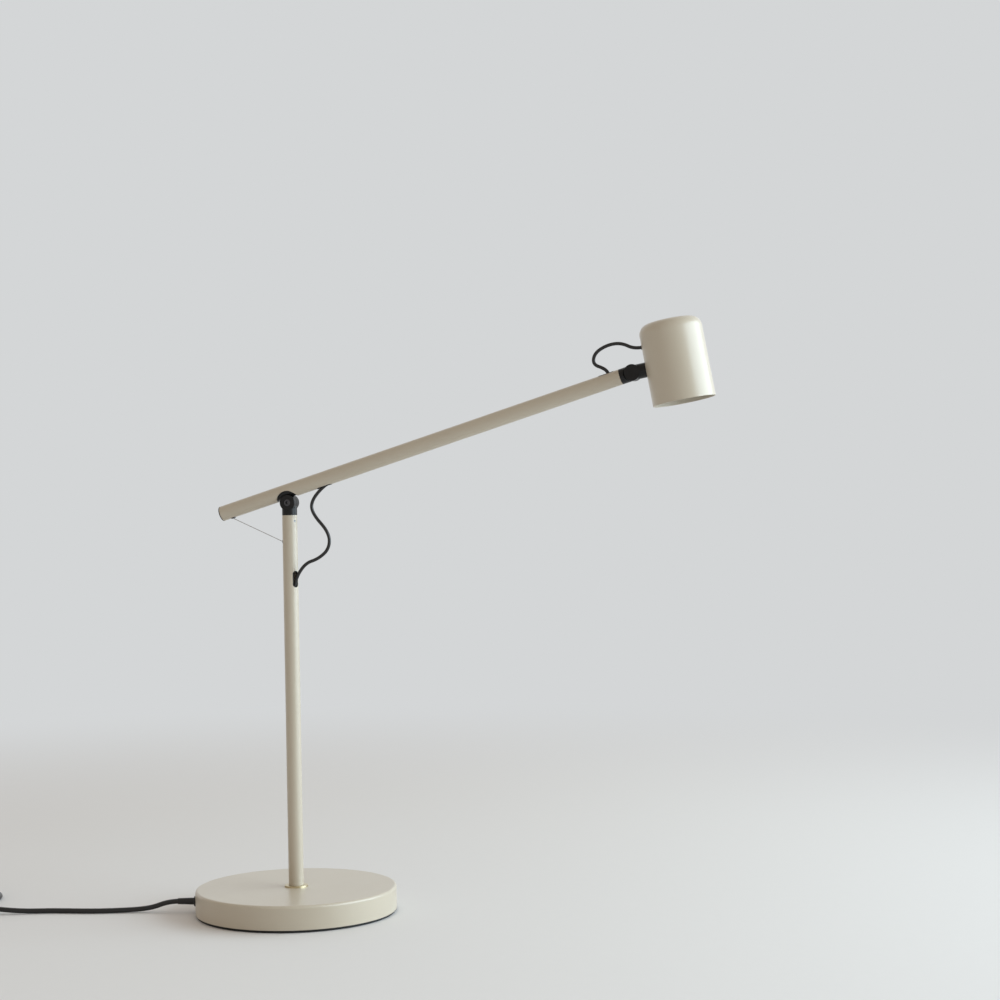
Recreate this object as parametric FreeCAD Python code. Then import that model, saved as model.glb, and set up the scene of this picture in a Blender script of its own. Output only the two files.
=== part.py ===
import FreeCAD, Part
import math
import os
from FreeCAD import Placement, Rotation
from FreeCAD import Vector as V

# Balance desk lamp with a round weighted base, a straight post, a balanced arm and a cylindrical shade.
# Millimetres, +Z up. The origin is the middle of the underside of the base pad. At rest the arm lies in
# the XZ plane with its shade towards +X, and the balance wire is on the -X side of the post.

# ---- driving dimensions: fits
FIT = 0.05                    # radial gap of pieces fixed in one another
RUNNING_FIT = 0.06            # radial gap of a turning fit
BODY_GAP = 0.3                # gap between pieces that move past each other
EAR_GAP = 0.5                 # gap between the two ears of a knuckle, filled by its washer

# ---- driving dimensions: base
BASE_DIAMETER = 240.0
PAD_THICKNESS = 1.8
PAD_INSET = 2.0
PLATE_THICKNESS = 1.2
PLATE_INSET = 0.6
COVER_HEIGHT = 28.0
COVER_WALL = 2.0
COVER_EDGE_RADIUS = 3.0
WEIGHT_SIDE_GAP = 12.0        # between the weight and the inside of the cover, for the gland nut
WEIGHT_THICKNESS = 14.0
WEIGHT_BOSS_RADIUS = 44.0
WEIGHT_RECESS_RADIUS = 36.0
WEIGHT_RECESS_DEPTH = 12.0
WEIGHT_WEB = 3.5
LEAD_CHANNEL_WIDTH = 11.0
PLATE_SCREW_INSET = 16.0      # from the edge of the weight to the screws' circle
PLATE_SCREW_COUNT = 4
PLATE_SCREW_RADIUS = 2.5
PLATE_SCREW_LENGTH = 11.0
PLATE_SCREW_HEAD_RADIUS = 4.8
PLATE_SCREW_HEAD_HEIGHT = 1.5
BUSH_RADIUS = 12.0
FOOT_RING_RADIUS = 14.0
FOOT_RING_HEIGHT = 2.0

# ---- driving dimensions: swivel under the post
THRUST_WASHER_THICKNESS = 1.2
STUD_RADIUS = 5.0
STUD_BORE_RADIUS = 3.25
STUD_LENGTH = 11.5
FOOT_PLUG_LENGTH = 14.0
TAB_WASHER_THICKNESS = 1.5
TAB_WASHER_RADIUS = 9.0
TAB_REACH = 16.0
TAB_WIDTH = 4.0
STOP_PIN_RADIUS = 1.5
STOP_PIN_CIRCLE = 14.0
STOP_PIN_LENGTH = 7.0
STOP_PIN_DEPTH = 3.0
SWIVEL_NUT_FLATS = 16.0
SWIVEL_NUT_HEIGHT = 4.5

# ---- driving dimensions: post
POST_RADIUS = 9.0
TUBE_WALL = 1.25
POST_TUBE_HEIGHT = 445.0      # from the top of the base to the top of the tube
PIVOT_RISE = 15.0             # from the top of the tube to the pivot axis
POST_SPIGOT_LENGTH = 22.0
GRUB_RADIUS = 1.5
GRUB_LENGTH = 4.0
GRUB_SINK = 0.2
GRUB_DROP = 7.0               # below the top of the tube
POST_TURN = -27.0             # degrees about the post axis, from the arm to the cable slot and the grub screw
POST_SLOT_TOP = 81.5          # below the pivot
POST_SLOT_LENGTH = 20.0
POST_SLOT_WIDTH = 8.0
WIRE_HOLE_DROP = 46.7         # below the pivot
WIRE_HOLE_RADIUS = 2.2
EYELET_WALL = 0.7
EYELET_FLANGE = 0.5
EYELET_PROUD = 0.1
EYELET_EDGE_RADIUS = 0.2
FLANGE_SEAT = 0.3             # how far a small flange's curved seat reaches below the crown of a tube

# ---- driving dimensions: knuckles
EAR_RADIUS = 9.5
EAR_THICKNESS = 8.0
EAR_EDGE_RADIUS = 0.8
EAR_POCKET_RADIUS = 10.0
SCREW_RADIUS = 2.5
SCREW_HEAD_RADIUS = 4.25
SCREW_HEAD_HEIGHT = 5.0
SCREW_HEAD_SINK = 0.25
SCREW_SOCKET_FLATS = 4.0
SCREW_SOCKET_DEPTH = 2.6
BLIND_FLOOR = 2.0             # what is left of an ear under its blind threaded hole
PIVOT_NUT_FLATS = 8.0
PIVOT_NUT_HEIGHT = 4.0
PIVOT_WASHER_THICKNESS = 0.4
PIVOT_WASHER_RADIUS = 4.6

# ---- driving dimensions: balance gear inside the post
ROLLER_GROOVE_RADIUS = 2.6
ROLLER_FLANGE_RADIUS = 3.4
ROLLER_WIDTH = 4.0
ROLLER_OFFSET = 3.9           # roller axis from the post axis, towards the wire hole
ROLLER_AXLE_RADIUS = 0.9
BRACKET_CHEEK = 1.0
BRACKET_CHEEK_WIDTH = 5.4
WIRE_RADIUS = 0.45
WIRE_TOP_DROP = 100.0         # where the vertical wire passes into its ferrule, below the pivot
FERRULE_RADIUS = 2.0
FERRULE_LENGTH = 14.0
SPRING_RADIUS = 4.0
SPRING_WIRE = 1.0
SPRING_LENGTH = 200.0
SPRING_ANCHOR_THICKNESS = 8.0
SPRING_ANCHOR_EYE = 5.0

# ---- driving dimensions: arm
ARM_RISE = 16.8               # degrees above level at rest
ARM_RADIUS = 9.0
ARM_OFFSET = 13.6             # arm axis above the pivot axis
ARM_TAIL = 86.5               # tail end from the pivot, along the arm
ARM_HEAD = 431.3              # head end from the pivot, along the arm
ARM_NOTCH_RADIUS = 14.25
ARM_INSERT_HALF = 26.0
ARM_INSERT_CUT = 10.2
ARM_INSERT_SCREW_AT = 20.0
CAP_THICKNESS = 1.2
CAP_PLUG_LENGTH = 8.0
CAP_EDGE_RADIUS = 0.5
WIRE_ANCHOR_AT = 74.4
WIRE_ANCHOR_RADIUS = 2.0
WIRE_ANCHOR_FLANGE = 0.8
WIRE_ANCHOR_LIP = 0.8         # how far the flange reaches past the hole
WIRE_ANCHOR_INSIDE = 2.0      # how far the button reaches into the tube
LOWER_SLOT_START = 39.0
LOWER_SLOT_END = 58.7
UPPER_SLOT_START = 25.1       # from the head end of the tube, back along the arm
UPPER_SLOT_END = 6.4
ARM_SLOT_WIDTH = 7.0
SLOT_LINER_WALL = 0.8
SLOT_LINER_PROUD = 0.3

# ---- driving dimensions: head
COLLAR_SPIGOT = 6.0
HEAD_PIVOT_REACH = 14.7       # head pivot beyond the end of the tube
SHADE_TILT = 10.2             # degrees, the stem above level and the shade axis off upright
STEM_RADIUS = 8.6
SHADE_RADIUS = 36.0
SHADE_HEIGHT = 94.8
SHADE_WALL = 1.2
SHADE_CORNER_RADIUS = 12.0
SHADE_DOME_RADIUS = 250.0
STEM_LENGTH = 16.0            # pivot to the surface of the shade
STEM_DROP = 50.8              # stem axis below the top of the shade
STEM_STUD_RADIUS = 4.0
STEM_STUD_LENGTH = 10.0
STEM_NUT_FLATS = 13.0
STEM_NUT_HEIGHT = 5.0
STEM_WASHER_RADIUS = 7.0
STEM_WASHER_THICKNESS = 1.4
LEAD_HOLE_RISE = 26.0         # above the stem axis
LEAD_REACH = 2.2              # past the inside of the wall, where the loop passes into the cable
GROMMET_BODY_RADIUS = 2.6
GROMMET_FLANGE_RADIUS = 3.3
GROMMET_FLANGE = 1.0
HOLDER_BRACKET_THICKNESS = 1.5
HOLDER_BRACKET_WIDTH = 16.0
HOLDER_BRACKET_FOOT = 9.0
HOLDER_BRACKET_TOP = 40.0     # underside of the level leg above the stem axis
BRACKET_LEAD_HOLE = 4.0
LAMPHOLDER_RADIUS = 12.5
LAMPHOLDER_HEIGHT = 18.0
LAMPHOLDER_FLAT = 1.5
BULB_NECK_RADIUS = 9.0
BULB_SHOULDER_RADIUS = 15.0
BULB_FACE_RADIUS = 25.0
BULB_NECK_LENGTH = 8.0
BULB_LENGTH = 54.0
BULB_RIM_HEIGHT = 5.0
BULB_LENS_THICKNESS = 1.5
BULB_WALL = 2.0

# ---- driving dimensions: cables
CABLE_RADIUS = 2.0
CORE_RADIUS = 0.9
CABLE_IN_POST_RADIUS = 5.55
CABLE_IN_ARM_W = 8.6
POST_CABLE_JOIN = 112.0       # below the pivot, where the loop passes into the cable of the post
LOOP_LEAD_IN = 14.6
ARM_CABLE_JOIN = 68.4         # along the arm, where the loop passes into the cable of the arm
HEAD_CABLE_JOIN = 31.4        # back from the head end of the tube, the same for the other loop
AXIS_JOIN_Z = 16.2            # where the core of the base meets the cable of the post, on the post axis
MAINS_RADIUS = 3.0
GLAND_AZIMUTH = 192.0         # degrees
GLAND_HEIGHT = 13.5
GLAND_FLANGE_RADIUS = 6.5
GLAND_FLANGE = 4.0
GLAND_BODY_RADIUS = 6.0
GLAND_BODY_LENGTH = 10.0
GLAND_SLEEVE_LENGTH = 20.0
GLAND_SLEEVE_ROOT = 4.2
GLAND_SLEEVE_TIP = 3.6
GLAND_NUT_FLATS = 17.0
GLAND_NUT_HEIGHT = 4.0
TERMINAL_BLOCK = (12.0, 16.0, 11.0)
TERMINAL_BLOCK_AT = 21.0      # inner face of the block from the post axis
TERMINAL_INLET_HEIGHT = 9.0
BASE_LEAD_HEIGHT = 4.2
INLET_LEAD_IN = 14.0          # straight length of the inlet cable at the terminal block
INLET_STRAIGHT = 8.0          # and before the gland
POST_LEAD_BEND_TOP = 62.0     # above the foot of the post, where its cable starts towards the axis
POST_LEAD_BEND_LOW = 24.0     # and where it reaches the axis

# ---- driving dimensions: switch, plug and coil
SWITCH_LENGTH = 58.0
SWITCH_WIDTH = 25.0
SWITCH_HEIGHT = 15.0
SWITCH_CORNER = 8.0
SWITCH_AT = (-391.0, -92.0)
SWITCH_AZIMUTH = 191.5
ROCKER_LENGTH = 17.0
ROCKER_WIDTH = 10.0
ROCKER_DEPTH = 5.0
ROCKER_TILT = 6.0
PLUG_WIDTH = 35.0
PLUG_THICKNESS = 13.6
PLUG_LENGTH = 34.0
PLUG_NECK = 11.0
PLUG_SHOULDER = 12.0
PLUG_RELIEF_LENGTH = 24.0
PLUG_RELIEF_ROOT = 5.0
PLUG_RELIEF_TIP = 3.5
PLUG_LEAD_IN = 8.0            # level run of the cord into the plug's relief
PIN_RADIUS = 2.0
PIN_LENGTH = 19.0
PIN_SPACING = 18.6
FLOOR_GAP = 0.05
COIL_CENTRE = (-439.0, -15.0)
COIL_OUTER_RADIUS = 46.0
COIL_PITCH = 6.5
COIL_TURNS_IN = 3.0
COIL_TURNS_CLIMB = 0.5
COIL_TURNS_OUT = 2.5

# ---- hand-chosen cord routes
# From the pivot axis, (x, y, z): out of the slot under the arm, out and back in two bows, to the post.
PIVOT_LOOP_ROUTE = [
    (28.2, 0.0, 3.0), (28.4, 0.0, -13.0), (50.2, 0.0, -36.6), (50.2, -0.8, -55.5), (37.3, -4.0, -67.5),
    (21.0, -8.0, -72.8),
]
POST_ENTRY_DROP = 95.3        # where the loop turns down inside the post, below the pivot
# From the head pivot, (x, z): up out of the slot on the arm, back, and over to the shade.
HEAD_LOOP_ROUTE = [
    (-28.4, 0.4), (-33.8, 6.1), (-46.9, 10.9), (-44.9, 23.9), (-29.5, 32.9), (-13.0, 34.6), (2.4, 26.8),
]
# In the arm, from the head end of the tube and the arm axis, (u, w): the bend up to the slot.
ARM_CABLE_BEND = [(-22.0, -5.0), (-14.6, 0.8)]
# On the table, (x, y, z): from the gland to the switch, and from the switch to the coil.
MAINS_ROUTE = [
    (-153.8, -32.0, 12.8), (-172.5, -35.3, 5.4), (-198.0, -41.8, 3.1), (-239.0, -57.0, 3.0),
    (-287.0, -62.0, 3.0), (-328.0, -76.0, 3.2),
]
COIL_FEED_ROUTE = [
    (-437.0, -103.0, 6.6), (-461.5, -98.5, 3.2), (-479.0, -79.5, 3.0), (-485.0, -50.0, 3.0),
]
PLUG_TAIL_ROUTE = [(8.0, 9.2), (26.0, 7.2)]   # after the coil: along +Y from its end, and height

# ---- derived positions
PLATE_TOP = PAD_THICKNESS + PLATE_THICKNESS
COVER_TOP = PLATE_TOP + COVER_HEIGHT
COVER_RADIUS = BASE_DIAMETER / 2
WEIGHT_RADIUS = COVER_RADIUS - COVER_WALL - WEIGHT_SIDE_GAP
PLATE_SCREW_CIRCLE = WEIGHT_RADIUS - PLATE_SCREW_INSET
RECESS_TOP = PLATE_TOP + WEIGHT_RECESS_DEPTH
WEB_TOP = RECESS_TOP + WEIGHT_WEB
TUBE_BOTTOM = WEB_TOP + THRUST_WASHER_THICKNESS
TUBE_TOP = COVER_TOP + POST_TUBE_HEIGHT
PIVOT_Z = TUBE_TOP + PIVOT_RISE
POST_BORE = POST_RADIUS - TUBE_WALL
ARM_BORE = ARM_RADIUS - TUBE_WALL
EAR_NEAR = EAR_GAP / 2
EAR_FAR = EAR_NEAR + EAR_THICKNESS
SCREW_SEAT = EAR_FAR - SCREW_HEAD_SINK - SCREW_HEAD_HEIGHT
NUT_SEAT = EAR_FAR - SCREW_HEAD_SINK - PIVOT_NUT_HEIGHT - PIVOT_WASHER_THICKNESS
ROLLER_WIRE_RADIUS = ROLLER_GROOVE_RADIUS + WIRE_RADIUS + FIT
SPRING_X = ROLLER_WIRE_RADIUS - ROLLER_OFFSET
HEAD_PIVOT_U = ARM_HEAD + HEAD_PIVOT_REACH
SHADE_AXIS_X = STEM_LENGTH + SHADE_RADIUS
GLAND_DIRECTION = V(math.cos(math.radians(GLAND_AZIMUTH)), math.sin(math.radians(GLAND_AZIMUTH)), 0)
GLAND_TIP = COVER_RADIUS + GLAND_FLANGE + GLAND_SLEEVE_LENGTH
SWITCH_DIRECTION = V(math.cos(math.radians(SWITCH_AZIMUTH)), math.sin(math.radians(SWITCH_AZIMUTH)), 0)

UP = V(0, 0, 1)
ACROSS = V(0, 1, 0)
ALONG = V(1, 0, 0)

ARM_FRAME = Placement(V(0, 0, PIVOT_Z), Rotation(ACROSS, -ARM_RISE))
HEAD_FRAME = Placement(ARM_FRAME.multVec(V(HEAD_PIVOT_U, 0, ARM_OFFSET)), Rotation(ACROSS, -SHADE_TILT))
GLAND_FRAME = Placement(V(0, 0, GLAND_HEIGHT), Rotation(UP, GLAND_AZIMUTH))
SWITCH_FRAME = Placement(V(SWITCH_AT[0], SWITCH_AT[1], FLOOR_GAP), Rotation(UP, SWITCH_AZIMUTH))


# ---- geometry helpers
def rounded_edges(corners):
    """Edges of a closed outline in the XZ plane. A corner is (x, z), or (x, z, radius) where rounded."""
    points = [V(c[0], 0, c[1]) for c in corners]
    starts, ends, arcs = [], [], []
    for i, corner in enumerate(corners):
        here = points[i]
        if len(corner) == 2:
            starts.append(here)
            ends.append(here)
            continue
        back = (points[i - 1] - here).normalize()
        ahead = (points[(i + 1) % len(points)] - here).normalize()
        half = back.getAngle(ahead) / 2
        reach = corner[2] / math.tan(half)
        centre = here + (back + ahead).normalize() * (corner[2] / math.sin(half))
        start = here + back * reach
        end = here + ahead * reach
        middle = centre + (here - centre).normalize() * corner[2]
        arcs.append(Part.Arc(start, middle, end).toShape())
        starts.append(start)
        ends.append(end)
    lines = []
    for i in range(len(points)):
        begin, finish = ends[i], starts[(i + 1) % len(points)]
        if begin.distanceToPoint(finish) > 1e-6:
            lines.append(Part.LineSegment(begin, finish).toShape())
    return Part.__sortEdges__(lines + arcs)


def turned(corners):
    """Solid turned about Z from a half outline of (radius, z) corners."""
    face = Part.Face(Part.Wire(rounded_edges(corners)))
    return Part.Solid(face.revolve(V(0, 0, 0), UP, 360))


def aimed(shape, origin, direction):
    """The shape with its own Z turned to a direction and its own origin moved to a point."""
    return shape.transformed(Placement(origin, Rotation(UP, direction)).toMatrix(), copy=True)


def framed(shape, frame):
    """The shape taken from a frame's own coordinates to the lamp's."""
    return shape.transformed(frame.toMatrix(), copy=True)


def rod(origin, direction, radius, length):
    """A plain cylinder from a point along a direction."""
    return Part.makeCylinder(radius, length, origin, direction)


def pipe(origin, direction, outer, inner, length):
    """A straight tube from a point along a direction."""
    return rod(origin, direction, outer, length).cut(rod(origin, direction, inner, length))


def block(x0, x1, y0, y1, z0, z1):
    """A box between two corners."""
    return Part.makeBox(x1 - x0, y1 - y0, z1 - z0, V(x0, y0, z0))


def hexagon(origin, direction, flats, height):
    """A hexagonal bar from a point along a direction."""
    reach = flats / math.sqrt(3)
    corners = [V(reach * math.cos(math.radians(60 * i)), reach * math.sin(math.radians(60 * i)), 0)
               for i in range(6)]
    face = Part.Face(Part.makePolygon(corners + corners[:1]))
    return aimed(face.extrude(V(0, 0, height)), origin, direction)


def oblong(length, width, height):
    """A bar along X with half-round ends, centred on the origin, its height along Z both ways."""
    straight = length / 2 - width / 2
    bar = block(-straight, straight, -width / 2, width / 2, -height / 2, height / 2)
    for end in (-straight, straight):
        bar = bar.fuse(rod(V(end, 0, -height / 2), UP, width / 2, height))
    return bar.removeSplitter()


def socket_screw_at(origin, direction, shank_length):
    """Cap screw: the head stands on the origin against the direction, the shank runs along it."""
    head = turned([
        (0, -SCREW_HEAD_HEIGHT), (SCREW_HEAD_RADIUS, -SCREW_HEAD_HEIGHT, 0.5), (SCREW_HEAD_RADIUS, 0), (0, 0),
    ])
    socket = hexagon(V(0, 0, -SCREW_HEAD_HEIGHT), UP, SCREW_SOCKET_FLATS, SCREW_SOCKET_DEPTH)
    shank = rod(V(0, 0, 0), UP, SCREW_RADIUS, shank_length)
    return aimed(head.cut(socket).fuse(shank).removeSplitter(), origin, direction)


def grub_screw_at(origin, direction):
    """Socket grub screw whose outer end is at the origin and whose body runs along the direction."""
    body = rod(origin, direction, GRUB_RADIUS - FIT, GRUB_LENGTH)
    return body.cut(hexagon(origin, direction, GRUB_RADIUS, GRUB_LENGTH / 2))


def cord_path(name, points, diameter):
    """Straight runs joined by tangent arcs of 0.45 of the shorter run; prints the arcs' radii."""
    edges, radii = [], []
    begin = points[0]
    for before, corner, after in zip(points, points[1:], points[2:]):
        back = (before - corner).normalize()
        ahead = (after - corner).normalize()
        half_turn = (math.pi - back.getAngle(ahead)) / 2
        reach = 0.45 * min(before.distanceToPoint(corner), after.distanceToPoint(corner))
        radius = reach / math.tan(half_turn)
        centre = corner + (back + ahead).normalize() * (radius / math.cos(half_turn))
        start = corner + back * reach
        end = corner + ahead * reach
        middle = centre + (corner - centre).normalize() * radius
        edges.append(Part.LineSegment(begin, start).toShape())
        edges.append(Part.Arc(start, middle, end).toShape())
        radii.append(radius)
        begin = end
    edges.append(Part.LineSegment(begin, points[-1]).toShape())
    wire = Part.Wire(edges)
    runs = [a.distanceToPoint(b) for a, b in zip(points, points[1:])]
    print(name, "length %.1f" % wire.Length, "runs", ["%.0f" % run for run in runs],
          "radii in diameters", ["%.1f" % (radius / diameter) for radius in radii])
    return wire


def swept(wire, start, direction, radius):
    """Round tube of a radius along a wire that starts at a point in a direction."""
    ring = Part.Wire(Part.Circle(start, direction, radius).toShape())
    shell = Part.BRepOffsetAPI.MakePipeShell(wire)
    shell.add(ring)
    shell.build()
    shell.makeSolid()
    solid = Part.Solid(shell.shape())
    wanted = math.pi * radius ** 2 * wire.Length
    print("  volume %.0f against %.0f" % (solid.Volume, wanted))
    return solid


def cord(name, points, radius):
    """A cord's solid along straight runs and tangent arcs."""
    wire = cord_path(name, points, 2 * radius)
    return swept(wire, points[0], points[1] - points[0], radius)


def biarc(p0, t0, p1, t1):
    """Two arcs from p0, leaving along t0, to p1, arriving along t1, which share a tangent where they meet."""
    chord = p1 - p0
    both = t0 + t1
    a = 2 * (1 - t0.dot(t1))
    b = 2 * chord.dot(both)
    c = -chord.dot(chord)
    reach = -c / b if abs(a) < 1e-9 else (-b + math.sqrt(b * b - 4 * a * c)) / (2 * a)
    corner_a = p0 + t0 * reach
    corner_b = p1 - t1 * reach
    joint = (corner_a + corner_b) * 0.5
    edges = []
    for start, corner, end in ((p0, corner_a, joint), (joint, corner_b, p1)):
        mid_chord = (start + end) * 0.5
        sagitta_way = corner - mid_chord
        half = start.distanceToPoint(end) / 2
        rise = sagitta_way.Length
        leg = start.distanceToPoint(corner)
        through = mid_chord + sagitta_way * (half / (leg + half)) if rise > 1e-7 else mid_chord
        if rise > 1e-4:
            edges.append(Part.Arc(start, through, end).toShape())
        else:
            edges.append(Part.LineSegment(start, end).toShape())
    return edges


# ---- base
def gland_cut(radius, start, end):
    """A round hole along the gland's axis between two distances from the post."""
    return framed(rod(V(start, 0, 0), ALONG, radius, end - start), GLAND_FRAME)


def plate_screw_places():
    """Centres of the plate screws on their circle."""
    step = 360 / PLATE_SCREW_COUNT
    angles = [math.radians(step / 2 + step * i) for i in range(PLATE_SCREW_COUNT)]
    return [V(PLATE_SCREW_CIRCLE * math.cos(a), PLATE_SCREW_CIRCLE * math.sin(a), 0) for a in angles]


def base_pad():
    """Rubber pad with clearance round the heads of the plate screws."""
    pad = rod(V(0, 0, 0), UP, COVER_RADIUS - PAD_INSET, PAD_THICKNESS)
    for place in plate_screw_places():
        pad = pad.cut(rod(place, UP, PLATE_SCREW_HEAD_RADIUS + BODY_GAP, PAD_THICKNESS))
    return pad


def base_plate():
    """Steel plate that closes the base."""
    plate = rod(V(0, 0, PAD_THICKNESS), UP, COVER_RADIUS - PLATE_INSET, PLATE_THICKNESS)
    for place in plate_screw_places():
        plate = plate.cut(rod(place + UP * PAD_THICKNESS, UP, PLATE_SCREW_RADIUS + FIT, PLATE_THICKNESS))
    return plate


def base_plate_screws():
    """Button-head screws up through the plate into the weight."""
    screws = []
    for place in plate_screw_places():
        under = PAD_THICKNESS - PLATE_SCREW_HEAD_HEIGHT
        head = turned([
            (0, under), (PLATE_SCREW_HEAD_RADIUS, under, 0.7), (PLATE_SCREW_HEAD_RADIUS, PAD_THICKNESS),
            (0, PAD_THICKNESS),
        ])
        head = head.cut(hexagon(V(0, 0, under), UP, PLATE_SCREW_RADIUS, PLATE_SCREW_HEAD_HEIGHT))
        shank = rod(V(0, 0, PAD_THICKNESS), UP, PLATE_SCREW_RADIUS, PLATE_SCREW_LENGTH)
        screws.append(head.fuse(shank).removeSplitter().translated(place))
    return Part.makeCompound(screws)


def base_cover():
    """Drawn cover with a rounded upper edge, open below, with a bore for the bush and one for the gland."""
    inner_edge = max(COVER_EDGE_RADIUS - COVER_WALL, 0.5)
    bore = BUSH_RADIUS + FIT
    shell = turned([
        (COVER_RADIUS, PLATE_TOP), (COVER_RADIUS, COVER_TOP, COVER_EDGE_RADIUS), (bore, COVER_TOP),
        (bore, COVER_TOP - COVER_WALL), (COVER_RADIUS - COVER_WALL, COVER_TOP - COVER_WALL, inner_edge),
        (COVER_RADIUS - COVER_WALL, PLATE_TOP),
    ])
    return shell.cut(gland_cut(GLAND_BODY_RADIUS + FIT, COVER_RADIUS - 2 * COVER_WALL, COVER_RADIUS + 1))


def base_weight():
    """Cast weight with a boss for the bush, a recess for the swivel and a channel for the inlet cable."""
    boss_top = COVER_TOP - COVER_WALL
    shoulder = PLATE_TOP + WEIGHT_THICKNESS
    weight = turned([
        (WEIGHT_RECESS_RADIUS, PLATE_TOP), (WEIGHT_RADIUS, PLATE_TOP, 1.0), (WEIGHT_RADIUS, shoulder, 2.0),
        (WEIGHT_BOSS_RADIUS, shoulder, 2.0), (WEIGHT_BOSS_RADIUS, boss_top, 1.0),
        (BUSH_RADIUS + FIT, boss_top), (BUSH_RADIUS + FIT, WEB_TOP), (STUD_RADIUS + BODY_GAP, WEB_TOP),
        (STUD_RADIUS + BODY_GAP, RECESS_TOP), (WEIGHT_RECESS_RADIUS, RECESS_TOP),
    ])
    half = LEAD_CHANNEL_WIDTH / 2
    channel = block(WEIGHT_RECESS_RADIUS - 1, WEIGHT_RADIUS + 1, -half, half,
                    PLATE_TOP - GLAND_HEIGHT, MAINS_RADIUS + 1.5)
    weight = weight.cut(framed(channel, GLAND_FRAME))
    for place in plate_screw_places():
        depth = PLATE_SCREW_LENGTH - PLATE_THICKNESS + 1
        weight = weight.cut(rod(place + UP * PLATE_TOP, UP, PLATE_SCREW_RADIUS + FIT, depth))
    return weight.cut(rod(V(STOP_PIN_CIRCLE, 0, RECESS_TOP), UP, STOP_PIN_RADIUS + FIT, STOP_PIN_DEPTH))


def bearing_bush():
    """Bronze bush in the boss in which the post turns."""
    return pipe(V(0, 0, WEB_TOP), UP, BUSH_RADIUS, POST_RADIUS + RUNNING_FIT, COVER_TOP - WEB_TOP)


def foot_ring():
    """Thin brass ring on the cover round the foot of the post."""
    top = COVER_TOP + FOOT_RING_HEIGHT
    return turned([
        (POST_RADIUS + BODY_GAP, COVER_TOP), (FOOT_RING_RADIUS, COVER_TOP), (FOOT_RING_RADIUS, top, 0.6),
        (POST_RADIUS + BODY_GAP, top, 0.3),
    ])


def stop_pin():
    """Pin under the web that stops the tab of the swivel washer."""
    foot = RECESS_TOP - (STOP_PIN_LENGTH - STOP_PIN_DEPTH)
    return rod(V(STOP_PIN_CIRCLE, 0, foot), UP, STOP_PIN_RADIUS, STOP_PIN_LENGTH)


def terminal_block():
    """Connector block in the recess, on the plate, in line with the gland."""
    length, width, height = TERMINAL_BLOCK
    body = block(TERMINAL_BLOCK_AT, TERMINAL_BLOCK_AT + length, -width / 2, width / 2,
                 PLATE_TOP - GLAND_HEIGHT, PLATE_TOP + height - GLAND_HEIGHT)
    for side in (-width / 4, width / 4):
        top = V(TERMINAL_BLOCK_AT + length / 2, side, PLATE_TOP + height - GLAND_HEIGHT - 3)
        body = body.cut(rod(top, UP, 2.0, 4))
    return framed(body, GLAND_FRAME)


def cord_gland():
    """Gland through the cover: threaded body, round flange and tapered sleeve."""
    flange_end = COVER_RADIUS + GLAND_FLANGE
    bore = MAINS_RADIUS + FIT
    gland = turned([
        (bore, COVER_RADIUS - GLAND_BODY_LENGTH), (GLAND_BODY_RADIUS, COVER_RADIUS - GLAND_BODY_LENGTH),
        (GLAND_BODY_RADIUS, COVER_RADIUS - 1), (GLAND_FLANGE_RADIUS, COVER_RADIUS - 1),
        (GLAND_FLANGE_RADIUS, flange_end, 1.2), (GLAND_SLEEVE_ROOT, flange_end, 1.0),
        (GLAND_SLEEVE_TIP, GLAND_TIP), (bore, GLAND_TIP),
    ])
    gland = framed(aimed(gland, V(0, 0, 0), ALONG), GLAND_FRAME)
    seat = pipe(V(0, 0, 0), UP, COVER_RADIUS, COVER_RADIUS - 1, COVER_TOP)
    keep = gland_cut(GLAND_BODY_RADIUS, COVER_RADIUS - GLAND_BODY_LENGTH, COVER_RADIUS)
    return gland.cut(seat.cut(keep))


def gland_nut():
    """Hexagon nut on the gland inside the cover."""
    inside = math.sqrt((COVER_RADIUS - COVER_WALL) ** 2 - (GLAND_NUT_FLATS / math.sqrt(3)) ** 2)
    start = inside - GLAND_NUT_HEIGHT
    nut = hexagon(V(start, 0, 0), ALONG, GLAND_NUT_FLATS, GLAND_NUT_HEIGHT)
    return framed(nut.cut(rod(V(start, 0, 0), ALONG, GLAND_BODY_RADIUS + FIT, GLAND_NUT_HEIGHT)), GLAND_FRAME)


def inlet_lead():
    """Mains cable inside the base, from the terminal block out through the gland."""
    length = TERMINAL_BLOCK[0]
    drop = TERMINAL_INLET_HEIGHT - GLAND_HEIGHT
    block_face = TERMINAL_BLOCK_AT + length
    straight = COVER_RADIUS - GLAND_BODY_LENGTH - INLET_STRAIGHT
    lead_in = block_face + INLET_LEAD_IN
    points = [V(block_face, 0, drop), V(lead_in, 0, drop), V(straight, 0, 0), V(GLAND_TIP, 0, 0)]
    return cord("inlet_lead", [GLAND_FRAME.multVec(p) for p in points], MAINS_RADIUS)


def core_lead():
    """Inner core from the terminal block to the middle of the swivel and up to the post's cable."""
    low = V(0, 0, BASE_LEAD_HEIGHT)
    points = [GLAND_DIRECTION * TERMINAL_BLOCK_AT + low, low, V(0, 0, AXIS_JOIN_Z)]
    return cord("core_lead", points, CORE_RADIUS)


def base_leads():
    """The two cables inside the base."""
    return Part.makeCompound([inlet_lead(), core_lead()])


# ---- swivel and post
def post_foot():
    """Plug in the foot of the post with a hollow stud down through the weight."""
    plug_top = TUBE_BOTTOM + FOOT_PLUG_LENGTH
    foot = turned([
        (STUD_BORE_RADIUS, TUBE_BOTTOM - STUD_LENGTH), (STUD_RADIUS, TUBE_BOTTOM - STUD_LENGTH, 0.5),
        (STUD_RADIUS, TUBE_BOTTOM), (POST_BORE - FIT, TUBE_BOTTOM), (POST_BORE - FIT, plug_top, 1.0),
        (STUD_BORE_RADIUS, plug_top),
    ])
    return foot


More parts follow.
